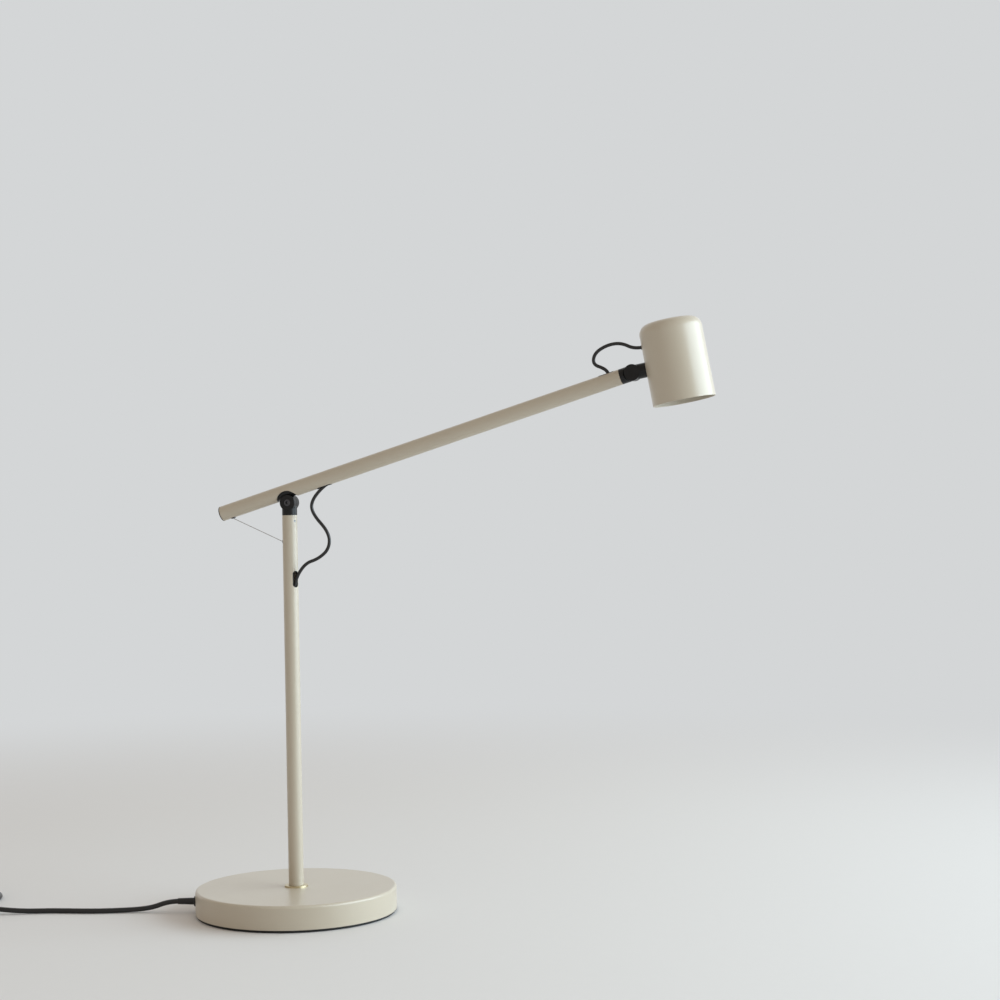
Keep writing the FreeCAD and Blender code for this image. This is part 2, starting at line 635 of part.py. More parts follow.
def swivel_washers():
    """Thrust washer on the web of the weight, and below the web the washer whose tab meets the stop pin."""
    outer = POST_RADIUS - 2 * FIT
    thrust = pipe(V(0, 0, WEB_TOP), UP, outer, STUD_RADIUS + FIT, THRUST_WASHER_THICKNESS)
    low = RECESS_TOP - TAB_WASHER_THICKNESS
    washer = rod(V(0, 0, low), UP, TAB_WASHER_RADIUS, TAB_WASHER_THICKNESS)
    tab = block(-TAB_REACH, 0, -TAB_WIDTH / 2, TAB_WIDTH / 2, low, RECESS_TOP)
    tabbed = washer.fuse(tab).cut(rod(V(0, 0, low), UP, STUD_RADIUS + FIT, TAB_WASHER_THICKNESS))
    return Part.makeCompound([thrust, tabbed.removeSplitter()])


def swivel_nut():
    """Locking nut on the stud under the tab washer."""
    low = RECESS_TOP - TAB_WASHER_THICKNESS - SWIVEL_NUT_HEIGHT
    nut = hexagon(V(0, 0, low), UP, SWIVEL_NUT_FLATS, SWIVEL_NUT_HEIGHT)
    return nut.cut(rod(V(0, 0, low), UP, STUD_RADIUS + FIT, SWIVEL_NUT_HEIGHT))


def post_turned(shape):
    """A shape on the +X side of the post axis, turned about it to the side of the cable slot."""
    return shape.transformed(Placement(V(0, 0, 0), Rotation(UP, POST_TURN)).toMatrix(), copy=True)


def beside_post(radius, z):
    """Point on the side of the cable slot, at a radius from the post axis and a height."""
    return Rotation(UP, POST_TURN).multVec(V(radius, 0, z))


def post_slot_solid(length, width):
    """The outline of the cable slot in the post as a bar through its wall."""
    bar = oblong(length, width, POST_RADIUS + 2)
    upright = bar.transformed(Placement(V(0, 0, 0), Rotation(ACROSS, 90)).toMatrix(), copy=True)
    middle = V(POST_RADIUS, 0, PIVOT_Z - POST_SLOT_TOP - POST_SLOT_LENGTH / 2)
    return post_turned(upright.translated(middle))


def post_tube():
    """Painted tube with the cable slot, the wire hole and the grub-screw hole."""
    tube = pipe(V(0, 0, TUBE_BOTTOM), UP, POST_RADIUS, POST_BORE, TUBE_TOP - TUBE_BOTTOM)
    tube = tube.cut(post_slot_solid(POST_SLOT_LENGTH, POST_SLOT_WIDTH))
    tube = tube.cut(rod(V(0, 0, PIVOT_Z - WIRE_HOLE_DROP), V(-1, 0, 0), WIRE_HOLE_RADIUS, POST_RADIUS + 1))
    return tube.cut(rod(V(0, 0, TUBE_TOP - GRUB_DROP), beside_post(1, 0), GRUB_RADIUS, POST_RADIUS + 1))


def slot_liner(outline, inset_outline, axis_point, axis, radius):
    """Thin liner of a slot in a tube, slightly proud of the tube's surface and flush with its bore."""
    far = 700.0
    start = axis_point - axis * far
    outer = rod(start, axis, radius + SLOT_LINER_PROUD, 2 * far)
    inner = rod(start, axis, radius - TUBE_WALL, 2 * far)
    return outline.cut(inset_outline).common(outer).cut(inner)


def post_slot_grommet():
    """Black liner in the post's cable slot."""
    length, width = POST_SLOT_LENGTH - 2 * FIT, POST_SLOT_WIDTH - 2 * FIT
    outline = post_slot_solid(length, width)
    hollow = post_slot_solid(length - 2 * SLOT_LINER_WALL, width - 2 * SLOT_LINER_WALL)
    return slot_liner(outline, hollow, V(0, 0, PIVOT_Z), UP, POST_RADIUS)


def wire_eyelet():
    """Small flanged bush in the wire hole."""
    bore = WIRE_HOLE_RADIUS - FIT - EYELET_WALL
    rim = WIRE_HOLE_RADIUS + EYELET_FLANGE
    eyelet = turned([
        (bore, POST_BORE), (WIRE_HOLE_RADIUS - FIT, POST_BORE),
        (WIRE_HOLE_RADIUS - FIT, POST_RADIUS - FLANGE_SEAT), (rim, POST_RADIUS - FLANGE_SEAT),
        (rim, POST_RADIUS + EYELET_PROUD, EYELET_EDGE_RADIUS),
        (bore, POST_RADIUS + EYELET_PROUD, EYELET_EDGE_RADIUS),
    ])
    eyelet = aimed(eyelet, V(0, 0, PIVOT_Z - WIRE_HOLE_DROP), V(-1, 0, 0))
    wall = pipe(V(0, 0, TUBE_BOTTOM), UP, POST_RADIUS, POST_BORE, TUBE_TOP - TUBE_BOTTOM)
    shank = rod(V(0, 0, PIVOT_Z - WIRE_HOLE_DROP), V(-1, 0, 0), WIRE_HOLE_RADIUS - FIT, POST_RADIUS + 1)
    return eyelet.cut(wall.cut(shank))


def ear(side):
    """Round ear about the pivot axis, in local coordinates, on the side of -Y (-1) or +Y (+1)."""
    disc = turned([
        (0, EAR_NEAR), (EAR_RADIUS, EAR_NEAR), (EAR_RADIUS, EAR_FAR, EAR_EDGE_RADIUS), (0, EAR_FAR),
    ])
    return aimed(disc, V(0, 0, 0), V(0, side, 0))


def ear_outside(side):
    """What stands outside an ear's face within its circle, in local coordinates."""
    return rod(V(0, side * EAR_FAR, 0), V(0, side, 0), EAR_RADIUS + FIT, EAR_FAR)


def ear_pocket(side):
    """Room for the opposite ear, in local coordinates, on the side of -Y (-1) or +Y (+1)."""
    return rod(V(0, -side * EAR_NEAR, 0), V(0, side, 0), EAR_POCKET_RADIUS, 2 * EAR_FAR)


def post_knuckle():
    """Black knuckle on the post: spigot, round shoulder and front ear with a sunk screw seat."""
    body = rod(V(0, 0, -PIVOT_RISE), UP, POST_RADIUS, PIVOT_RISE)
    body = body.cut(ear_outside(-1)).fuse(ear(-1)).cut(ear_pocket(1))
    spigot = turned([
        (0, -PIVOT_RISE - POST_SPIGOT_LENGTH), (POST_BORE - FIT, -PIVOT_RISE - POST_SPIGOT_LENGTH, 0.8),
        (POST_BORE - FIT, -PIVOT_RISE), (0, -PIVOT_RISE),
    ])
    body = body.fuse(spigot).removeSplitter()
    body = body.cut(rod(V(0, -EAR_FAR, 0), ACROSS, SCREW_RADIUS + FIT, 2 * EAR_FAR))
    body = body.cut(rod(V(0, -EAR_FAR - 1, 0), ACROSS, SCREW_HEAD_RADIUS + 0.15, EAR_FAR + 1 - SCREW_SEAT))
    seat = beside_post(grub_seat(), -PIVOT_RISE - GRUB_DROP)
    body = body.cut(rod(seat, beside_post(1, 0), GRUB_RADIUS, POST_RADIUS))
    return body.translated(V(0, 0, PIVOT_Z))


def grub_seat():
    """How far from the axis of a tube the bottom of a grub screw's hole lies."""
    return POST_RADIUS - GRUB_SINK - GRUB_LENGTH - FIT


def post_grub_screw():
    """Grub screw through the post into the knuckle's spigot."""
    return grub_screw_at(beside_post(POST_RADIUS - GRUB_SINK, TUBE_TOP - GRUB_DROP), -beside_post(1, 0))


def pivot_screw():
    """Cap screw through both ears, its head sunk in the front ear."""
    return socket_screw_at(V(0, -SCREW_SEAT, PIVOT_Z), ACROSS, SCREW_SEAT + EAR_FAR - SCREW_HEAD_SINK)


def pivot_nut():
    """Locking nut sunk in the rear ear."""
    low = EAR_FAR - SCREW_HEAD_SINK - PIVOT_NUT_HEIGHT
    nut = hexagon(V(0, low, PIVOT_Z), ACROSS, PIVOT_NUT_FLATS, PIVOT_NUT_HEIGHT)
    return nut.cut(rod(V(0, low, PIVOT_Z), ACROSS, SCREW_RADIUS + FIT, PIVOT_NUT_HEIGHT))


def ear_washer(centre, start, thickness):
    """Washer on a knuckle's screw."""
    return pipe(centre + ACROSS * start, ACROSS, PIVOT_WASHER_RADIUS, SCREW_RADIUS + FIT, thickness)


def pivot_washers():
    """Friction washer between the ears and a washer under the nut."""
    centre = V(0, 0, PIVOT_Z)
    between = ear_washer(centre, -EAR_NEAR, EAR_GAP)
    return Part.makeCompound([between, ear_washer(centre, NUT_SEAT, PIVOT_WASHER_THICKNESS)])


# ---- balance gear
def wire_anchor_point():
    """Where the balance wire leaves the underside of the arm."""
    return ARM_FRAME.multVec(V(-WIRE_ANCHOR_AT, 0, ARM_OFFSET - ARM_RADIUS - WIRE_ANCHOR_FLANGE - BODY_GAP))


def roller_centre():
    """Centre of the guide roller, so that the wire from the arm meets its groove through the eyelet."""
    anchor = wire_anchor_point()
    hole = V(-POST_RADIUS, 0, PIVOT_Z - WIRE_HOLE_DROP)
    way = (hole - anchor).normalize()
    normal = V(-way.z, 0, way.x)
    touch_x = -ROLLER_OFFSET + ROLLER_WIRE_RADIUS * normal.x
    touch_z = hole.z + way.z / way.x * (touch_x - hole.x)
    return V(-ROLLER_OFFSET, 0, touch_z - ROLLER_WIRE_RADIUS * normal.z)


def guide_roller():
    """Grooved roller that turns the wire down into the post."""
    half = ROLLER_WIDTH / 2
    bore = ROLLER_AXLE_RADIUS + RUNNING_FIT
    roller = turned([
        (bore, -half), (ROLLER_FLANGE_RADIUS, -half, 0.2), (ROLLER_FLANGE_RADIUS, -half * 0.6),
        (ROLLER_GROOVE_RADIUS, -half * 0.3), (ROLLER_GROOVE_RADIUS, half * 0.3),
        (ROLLER_FLANGE_RADIUS, half * 0.6), (ROLLER_FLANGE_RADIUS, half, 0.2), (bore, half),
    ])
    return aimed(roller, roller_centre(), ACROSS)


def roller_fork():
    """Fork under the knuckle's spigot, with the roller's axle riveted in its cheeks."""
    centre = roller_centre()
    top = TUBE_TOP - POST_SPIGOT_LENGTH
    inner = ROLLER_WIDTH / 2 + BODY_GAP
    x0 = centre.x - BRACKET_CHEEK_WIDTH / 2 + 0.7
    x1 = centre.x + BRACKET_CHEEK_WIDTH / 2
    low = centre.z - BRACKET_CHEEK_WIDTH / 2
    fork = block(x0, x1, -inner - BRACKET_CHEEK, inner + BRACKET_CHEEK, low, top)
    fork = fork.cut(block(x0, x1, -inner, inner, low, top - 2 * BRACKET_CHEEK))
    reach = inner + BRACKET_CHEEK
    axle = rod(centre - ACROSS * reach, ACROSS, ROLLER_AXLE_RADIUS, 2 * reach)
    return fork.fuse(axle).removeSplitter()


def balance_wire():
    """Steel wire from the arm through the eyelet, over the roller and down to the ferrule."""
    anchor = wire_anchor_point()
    centre = roller_centre()
    hole = V(-POST_RADIUS, 0, PIVOT_Z - WIRE_HOLE_DROP)
    way = (hole - anchor).normalize()
    normal = V(-way.z, 0, way.x)
    touch = centre + normal * ROLLER_WIRE_RADIUS
    side = centre + ALONG * ROLLER_WIRE_RADIUS
    top = centre + (normal + ALONG).normalize() * ROLLER_WIRE_RADIUS
    end = V(side.x, 0, PIVOT_Z - WIRE_TOP_DROP)
    wire = Part.Wire([
        Part.LineSegment(anchor, touch).toShape(), Part.Arc(touch, top, side).toShape(),
        Part.LineSegment(side, end).toShape(),
    ])
    return swept(wire, anchor, way, WIRE_RADIUS)


def spring_top():
    """Height of the upper end of the balance spring."""
    return PIVOT_Z - WIRE_TOP_DROP - FERRULE_LENGTH - SPRING_ANCHOR_EYE


def wire_ferrule():
    """Ferrule swaged on the wire, with the eye that the spring hangs in."""
    top = PIVOT_Z - WIRE_TOP_DROP
    low = top - FERRULE_LENGTH
    ferrule = turned([(0, low), (FERRULE_RADIUS, low, 0.5), (FERRULE_RADIUS, top, 0.8), (0, top)])
    eye = rod(V(0, 0, spring_top()), UP, SPRING_WIRE, SPRING_ANCHOR_EYE)
    return ferrule.fuse(eye).removeSplitter().translated(V(SPRING_X, 0, 0))


def balance_spring():
    """Close-wound balance spring, as a tube of its outer and inner diameter with closed ends."""
    top = spring_top()
    foot = V(SPRING_X, 0, top - SPRING_LENGTH)
    body = pipe(foot, UP, SPRING_RADIUS, SPRING_RADIUS - SPRING_WIRE, SPRING_LENGTH)
    for low in (top - SPRING_LENGTH, top - SPRING_WIRE):
        body = body.fuse(rod(V(SPRING_X, 0, low), UP, SPRING_RADIUS, SPRING_WIRE))
    return body.removeSplitter()


def spring_anchor():
    """Plug in the post under the spring, with a way past it for the cable."""
    top = spring_top() - SPRING_LENGTH
    low = top - SPRING_ANCHOR_EYE - SPRING_ANCHOR_THICKNESS
    plug = rod(V(0, 0, low), UP, POST_BORE - FIT, SPRING_ANCHOR_THICKNESS)
    way = CABLE_RADIUS + BODY_GAP
    channel = rod(V(CABLE_IN_POST_RADIUS, 0, low), UP, way, SPRING_ANCHOR_THICKNESS)
    mouth = block(CABLE_IN_POST_RADIUS, POST_RADIUS, -way, way, low, low + SPRING_ANCHOR_THICKNESS)
    plug = plug.cut(post_turned(channel)).cut(post_turned(mouth))
    eye = rod(V(SPRING_X, 0, low + SPRING_ANCHOR_THICKNESS), UP, SPRING_WIRE, SPRING_ANCHOR_EYE)
    return plug.fuse(eye).removeSplitter()


def post_lead():
    """Cable inside the post, from the loop down past the spring and through the hollow stud."""
    top = PIVOT_Z - POST_CABLE_JOIN
    foot = TUBE_BOTTOM + FOOT_PLUG_LENGTH
    points = [
        beside_post(CABLE_IN_POST_RADIUS, top), beside_post(CABLE_IN_POST_RADIUS, foot + POST_LEAD_BEND_TOP),
        V(0, 0, foot + POST_LEAD_BEND_LOW), V(0, 0, AXIS_JOIN_Z),
    ]
    return cord("post_lead", points, CABLE_RADIUS)


# ---- arm, in its own coordinates: u along the arm, w square to it, both from the pivot
def arm_slot_solid(start, end, width, side):
    """Outline of a slot along the arm as a bar through its upper (+1) or lower (-1) wall."""
    bar = oblong(end - start, width, 2 * TUBE_WALL + 6)
    return bar.translated(V((start + end) / 2, 0, ARM_OFFSET + side * (ARM_RADIUS - 1)))


def upper_slot():
    """Start and end of the upper slot along the arm."""
    return ARM_HEAD - UPPER_SLOT_START, ARM_HEAD - UPPER_SLOT_END


def arm_tube():
    """Painted arm tube with the pivot notch, two cable slots and the holes of its small parts."""
    tube = pipe(V(-ARM_TAIL, 0, ARM_OFFSET), ALONG, ARM_RADIUS, ARM_BORE, ARM_TAIL + ARM_HEAD)
    tube = tube.cut(rod(V(0, -2 * ARM_RADIUS, 0), ACROSS, ARM_NOTCH_RADIUS, 4 * ARM_RADIUS))
    tube = tube.cut(arm_slot_solid(LOWER_SLOT_START, LOWER_SLOT_END, ARM_SLOT_WIDTH, -1))
    tube = tube.cut(arm_slot_solid(*upper_slot(), ARM_SLOT_WIDTH, 1))
    tube = tube.cut(rod(V(-WIRE_ANCHOR_AT, 0, ARM_OFFSET), V(0, 0, -1), WIRE_ANCHOR_RADIUS, ARM_RADIUS + 1))
    for place in arm_screw_places():
        tube = tube.cut(rod(place, ACROSS, GRUB_RADIUS, ARM_RADIUS + 1))
    return framed(tube, ARM_FRAME)


def arm_screw_places():
    """Points on the arm axis where its grub screws point in from the rear."""
    return [V(-ARM_INSERT_SCREW_AT, 0, ARM_OFFSET), V(ARM_INSERT_SCREW_AT, 0, ARM_OFFSET)]


def arm_knuckle():
    """Black insert in the arm with the rear ear of the pivot."""
    insert = rod(V(-ARM_INSERT_HALF, 0, ARM_OFFSET), ALONG, ARM_BORE - FIT, 2 * ARM_INSERT_HALF)
    insert = insert.cut(rod(V(0, EAR_NEAR, 0), V(0, -1, 0), ARM_INSERT_CUT, 2 * ARM_RADIUS))
    body = insert.cut(ear_outside(1)).fuse(ear(1)).removeSplitter()
    body = body.cut(rod(V(0, 0, 0), ACROSS, SCREW_RADIUS + RUNNING_FIT, 2 * EAR_FAR))
    body = body.cut(rod(V(0, NUT_SEAT, 0), ACROSS, PIVOT_WASHER_RADIUS + BODY_GAP, EAR_FAR))
    for place in arm_screw_places():
        body = body.cut(rod(place + ACROSS * grub_seat(), ACROSS, GRUB_RADIUS, POST_RADIUS))
    return framed(body, ARM_FRAME)


def arm_insert_screws():
    """Two grub screws from the rear that hold the insert in the arm."""
    outward = ACROSS * (ARM_RADIUS - GRUB_SINK)
    screws = [grub_screw_at(place + outward, V(0, -1, 0)) for place in arm_screw_places()]
    return framed(Part.makeCompound(screws), ARM_FRAME)


def arm_end_cap():
    """Black cap in the tail end of the arm."""
    cap = turned([
        (0, -CAP_THICKNESS), (ARM_RADIUS, -CAP_THICKNESS, CAP_EDGE_RADIUS), (ARM_RADIUS, 0),
        (ARM_BORE - FIT, 0), (ARM_BORE - FIT, CAP_PLUG_LENGTH, 0.6), (0, CAP_PLUG_LENGTH),
    ])
    return framed(aimed(cap, V(-ARM_TAIL, 0, ARM_OFFSET), ALONG), ARM_FRAME)


def wire_anchor():
    """Flanged button under the arm that holds the end of the balance wire."""
    inside = ARM_BORE - WIRE_ANCHOR_INSIDE
    seat = ARM_RADIUS - FLANGE_SEAT
    outside = ARM_RADIUS + WIRE_ANCHOR_FLANGE
    shank_radius = WIRE_ANCHOR_RADIUS - FIT
    rim = WIRE_ANCHOR_RADIUS + WIRE_ANCHOR_LIP
    button = turned([
        (0, inside), (shank_radius, inside), (shank_radius, seat), (rim, seat), (rim, outside, 0.4),
        (0, outside),
    ])
    button = aimed(button, V(-WIRE_ANCHOR_AT, 0, ARM_OFFSET), V(0, 0, -1))
    wall = pipe(V(-ARM_TAIL, 0, ARM_OFFSET), ALONG, ARM_RADIUS, ARM_BORE, ARM_TAIL)
    shank = rod(V(-WIRE_ANCHOR_AT, 0, ARM_OFFSET), V(0, 0, -1), shank_radius, ARM_RADIUS + 1)
    return framed(button.cut(wall.cut(shank)), ARM_FRAME)


def arm_slot_grommets():
    """Black liners of the two cable slots of the arm."""
    liners = []
    for (start, end), side in (((LOWER_SLOT_START, LOWER_SLOT_END), -1), (upper_slot(), 1)):
        wall = SLOT_LINER_WALL
        width = ARM_SLOT_WIDTH - 2 * FIT
        outline = arm_slot_solid(start + FIT, end - FIT, width, side)
        hollow = arm_slot_solid(start + FIT + wall, end - FIT - wall, width - 2 * wall, side)
        liners.append(slot_liner(outline, hollow, V(0, 0, ARM_OFFSET), ALONG, ARM_RADIUS))
    return framed(Part.makeCompound(liners), ARM_FRAME)


def arm_cable_joins():
    """The two points inside the arm where its cable passes into the loops."""
    places = (ARM_CABLE_JOIN, ARM_HEAD - HEAD_CABLE_JOIN)
    return [ARM_FRAME.multVec(V(u, 0, CABLE_IN_ARM_W)) for u in places]


def arm_lead():
    """Cable inside the arm between the two loops."""
    return cord("arm_lead", arm_cable_joins(), CABLE_RADIUS)


def pivot_cable_loop():
    """Free loop of cable between the slot under the arm and the slot in the post."""
    start = arm_cable_joins()[0]
    corner = ARM_FRAME.multVec(V(ARM_CABLE_JOIN - LOOP_LEAD_IN, 0, CABLE_IN_ARM_W))
    middle = [V(x, y, PIVOT_Z + z) for x, y, z in PIVOT_LOOP_ROUTE]
    last = [beside_post(CABLE_IN_POST_RADIUS, PIVOT_Z - drop) for drop in (POST_ENTRY_DROP, POST_CABLE_JOIN)]
    return cord("pivot_cable_loop", [start, corner] + middle + last, CABLE_RADIUS)


def head_lead_start(gap=0.0):
    """Where the head loop passes into the cable of the head, inside the shade's wall, less a gap."""
    return HEAD_FRAME.multVec(V(STEM_LENGTH + SHADE_WALL + LEAD_REACH - gap, 0, LEAD_HOLE_RISE))


def head_cable_loop():
    """Free loop of cable between the slot on the arm and the side of the shade."""
    bend = [ARM_FRAME.multVec(V(ARM_HEAD + u, 0, ARM_OFFSET + w)) for u, w in ARM_CABLE_BEND]
    middle = [HEAD_FRAME.Base + V(x, 0, z) for x, z in HEAD_LOOP_ROUTE]
    route = [arm_cable_joins()[1]] + bend + middle + [head_lead_start(FIT)]
    return cord("head_cable_loop", route, CABLE_RADIUS)


# ---- head
def arm_collar():
    """Black end of the arm: spigot, collar and rear ear of the head pivot, in pivot coordinates."""
    body = rod(V(-HEAD_PIVOT_REACH, 0, 0), ALONG, ARM_RADIUS, HEAD_PIVOT_REACH)
    body = body.cut(ear_outside(1)).fuse(ear(1)).cut(ear_pocket(-1))
    spigot = rod(V(-HEAD_PIVOT_REACH - COLLAR_SPIGOT, 0, 0), ALONG, ARM_BORE - FIT, COLLAR_SPIGOT)
    body = body.fuse(spigot).removeSplitter()
    body = body.cut(rod(V(0, 0, 0), ACROSS, SCREW_RADIUS + RUNNING_FIT, 2 * EAR_FAR))
    washer_seat = V(0, SCREW_SEAT - PIVOT_WASHER_THICKNESS, 0)
    body = body.cut(rod(washer_seat, ACROSS, PIVOT_WASHER_RADIUS + BODY_GAP, EAR_FAR))
    return framed(body.translated(V(HEAD_PIVOT_U, 0, ARM_OFFSET)), ARM_FRAME)


def head_pivot_washers():
    """Friction washer between the ears of the head pivot and a washer under the screw head."""
    centre = V(0, 0, 0)
    between = ear_washer(centre, -EAR_NEAR, EAR_GAP)
    under_head = ear_washer(centre, SCREW_SEAT - PIVOT_WASHER_THICKNESS, PIVOT_WASHER_THICKNESS)
    return framed(Part.makeCompound([between, under_head]), HEAD_FRAME)


def head_pivot_screw():
    """Cap screw from the rear into the stem's ear."""
    length = SCREW_SEAT + EAR_FAR - BLIND_FLOOR
    return framed(socket_screw_at(V(0, SCREW_SEAT, 0), V(0, -1, 0), length), HEAD_FRAME)


def head_stem():
    """Black stem: front ear of the head pivot, round neck seated on the shade, and threaded stud."""
    neck = rod(V(0, 0, 0), ALONG, STEM_RADIUS, STEM_LENGTH + 2)
    neck = neck.cut(rod(V(SHADE_AXIS_X, 0, -EAR_FAR * 2), UP, SHADE_RADIUS, EAR_FAR * 4))
    body = neck.cut(ear_outside(-1)).fuse(ear(-1)).cut(ear_pocket(1))
    stud = rod(V(STEM_LENGTH - 2, 0, 0), ALONG, STEM_STUD_RADIUS, STEM_STUD_LENGTH + 2)
    body = body.fuse(stud).removeSplitter()
    blind = rod(V(0, BLIND_FLOOR - EAR_FAR, 0), ACROSS, SCREW_RADIUS + FIT, EAR_FAR)
    return framed(body.cut(blind), HEAD_FRAME)


def shade_profile(radius, corner, dome, top, bottom):
    """Half outline of the shade: straight side, rounded corner and shallow dome, as a face."""
    dome_centre = top - dome
    corner_x = radius - corner
    corner_z = dome_centre + math.sqrt((dome - corner) ** 2 - corner_x ** 2)
    lean = math.atan2(corner_x, corner_z - dome_centre)
    meet = V(dome * math.sin(lean), 0, dome_centre + dome * math.cos(lean))
    half = (math.pi / 2 - lean) / 2
    mid = V(corner_x + corner * math.cos(half), 0, corner_z + corner * math.sin(half))
    dome_mid = V(dome * math.sin(lean / 2), 0, dome_centre + dome * math.cos(lean / 2))
    side_top = V(radius, 0, corner_z)
    edges = [
        Part.LineSegment(V(0, 0, bottom), V(radius, 0, bottom)).toShape(),
        Part.LineSegment(V(radius, 0, bottom), side_top).toShape(),
        Part.Arc(side_top, mid, meet).toShape(),
        Part.Arc(meet, dome_mid, V(0, 0, top)).toShape(),
        Part.LineSegment(V(0, 0, top), V(0, 0, bottom)).toShape(),
    ]
    return Part.Face(Part.Wire(edges))


def shade():
    """Painted cylindrical shade with a rounded, slightly domed top, open below."""
    bottom = STEM_DROP - SHADE_HEIGHT
    outside = shade_profile(SHADE_RADIUS, SHADE_CORNER_RADIUS, SHADE_DOME_RADIUS, STEM_DROP, bottom)
    inside = shade_profile(SHADE_RADIUS - SHADE_WALL, SHADE_CORNER_RADIUS - SHADE_WALL,
                           SHADE_DOME_RADIUS - SHADE_WALL, STEM_DROP - SHADE_WALL, bottom - 1)
    full = Part.Solid(outside.revolve(V(0, 0, 0), UP, 360))
    hollow = Part.Solid(inside.revolve(V(0, 0, 0), UP, 360))
    shell = full.cut(hollow).translated(V(SHADE_AXIS_X, 0, 0))
    shell = shell.cut(rod(V(0, 0, 0), ALONG, STEM_STUD_RADIUS + FIT, SHADE_AXIS_X))
    shell = shell.cut(rod(V(0, 0, LEAD_HOLE_RISE), ALONG, GROMMET_BODY_RADIUS + FIT, SHADE_AXIS_X))
    return framed(shell, HEAD_FRAME)


def shade_grommet():
    """Small flared grommet where the cable enters the shade."""
    outside = STEM_LENGTH - GROMMET_FLANGE
    inside = STEM_LENGTH + SHADE_WALL + 0.6
    bore = CABLE_RADIUS + FIT
    body = turned([
        (bore, outside), (bore + 0.5, outside), (GROMMET_FLANGE_RADIUS, outside + 0.7),
        (GROMMET_FLANGE_RADIUS, STEM_LENGTH + FLANGE_SEAT), (GROMMET_BODY_RADIUS, STEM_LENGTH + FLANGE_SEAT),
        (GROMMET_BODY_RADIUS, inside), (bore, inside),
    ])
    body = aimed(body, V(0, 0, LEAD_HOLE_RISE), ALONG)
    wall = pipe(V(SHADE_AXIS_X, 0, 0), UP, SHADE_RADIUS, SHADE_RADIUS - SHADE_WALL, 2 * LEAD_HOLE_RISE)
    shank = rod(V(0, 0, LEAD_HOLE_RISE), ALONG, GROMMET_BODY_RADIUS, SHADE_AXIS_X)
    return framed(body.cut(wall.cut(shank)), HEAD_FRAME)


def inner_wall_x(half_width):
    """Where a flat of a half width stands against the shade's inner wall on the stem side."""
    return SHADE_AXIS_X - math.sqrt((SHADE_RADIUS - SHADE_WALL) ** 2 - half_width ** 2)


def bracket_x():
    """Outer face of the lampholder bracket's upright leg."""
    return inner_wall_x(HOLDER_BRACKET_WIDTH / 2) + FIT


def stem_fixings():
    """Saddle washer and nut that clamp the bracket and the shade to the stem."""
    start = bracket_x()
    saddle = rod(V(start - STEM_WASHER_THICKNESS, 0, 0), ALONG, STEM_WASHER_RADIUS, STEM_WASHER_THICKNESS)
    room = rod(V(SHADE_AXIS_X, 0, -EAR_FAR), UP, SHADE_RADIUS - SHADE_WALL - FIT, 2 * EAR_FAR)
    saddle = saddle.common(room).cut(rod(V(0, 0, 0), ALONG, STEM_STUD_RADIUS + FIT, SHADE_AXIS_X))
    seat = start + HOLDER_BRACKET_THICKNESS
    nut = hexagon(V(seat, 0, 0), ALONG, STEM_NUT_FLATS, STEM_NUT_HEIGHT)
    nut = nut.cut(rod(V(seat, 0, 0), ALONG, STEM_STUD_RADIUS + FIT, STEM_NUT_HEIGHT))
    return framed(Part.makeCompound([saddle, nut]), HEAD_FRAME)


def holder_bracket():
    """Angle bracket from the stem's stud up and over to the lampholder."""
    outer = bracket_x()
    half = HOLDER_BRACKET_WIDTH / 2
    top = HOLDER_BRACKET_TOP + HOLDER_BRACKET_THICKNESS
    reach = SHADE_AXIS_X + LAMPHOLDER_RADIUS * 0.8
    upright = block(outer, outer + HOLDER_BRACKET_THICKNESS, -half, half, -HOLDER_BRACKET_FOOT, top)
    level = block(outer, reach, -half, half, HOLDER_BRACKET_TOP, top)
    body = upright.fuse(level).removeSplitter()
    corner_room = shade_profile(SHADE_RADIUS - SHADE_WALL - BODY_GAP, SHADE_CORNER_RADIUS - SHADE_WALL,
                                SHADE_DOME_RADIUS, STEM_DROP - SHADE_WALL - BODY_GAP, -SHADE_HEIGHT)
    corner_room = Part.Solid(corner_room.revolve(V(0, 0, 0), UP, 360)).translated(V(SHADE_AXIS_X, 0, 0))
    body = body.common(corner_room)
    body = body.cut(rod(V(0, 0, 0), ALONG, STEM_STUD_RADIUS + FIT, SHADE_AXIS_X / 2))
    body = body.cut(rod(V(0, 0, LEAD_HOLE_RISE), ALONG, BRACKET_LEAD_HOLE, SHADE_AXIS_X / 2))
    return framed(body, HEAD_FRAME)


def holder_flat_x():
    """The flat of the lampholder where the cable goes in."""
    return SHADE_AXIS_X - LAMPHOLDER_RADIUS + LAMPHOLDER_FLAT


def lampholder():
    """Ceramic lampholder under the bracket, with a flat where the cable goes in."""
    low = HOLDER_BRACKET_TOP - LAMPHOLDER_HEIGHT
    body = turned([
        (0, low), (LAMPHOLDER_RADIUS, low, 1.0), (LAMPHOLDER_RADIUS, HOLDER_BRACKET_TOP, 1.5),
        (0, HOLDER_BRACKET_TOP),
    ]).translated(V(SHADE_AXIS_X, 0, 0))
    side = LAMPHOLDER_RADIUS
    away = block(0, holder_flat_x(), -side, side, low - 1, HOLDER_BRACKET_TOP + 1)
    return framed(body.cut(away), HEAD_FRAME)


def head_lead():
    """Cable inside the shade, through the bracket to the lampholder."""
    flat = HEAD_FRAME.multVec(V(holder_flat_x(), 0, LEAD_HOLE_RISE))
    return cord("head_lead", [head_lead_start(), flat], CABLE_RADIUS)


def bulb_top():
    """Height of the top of the bulb, against the lampholder."""
    return HOLDER_BRACKET_TOP - LAMPHOLDER_HEIGHT


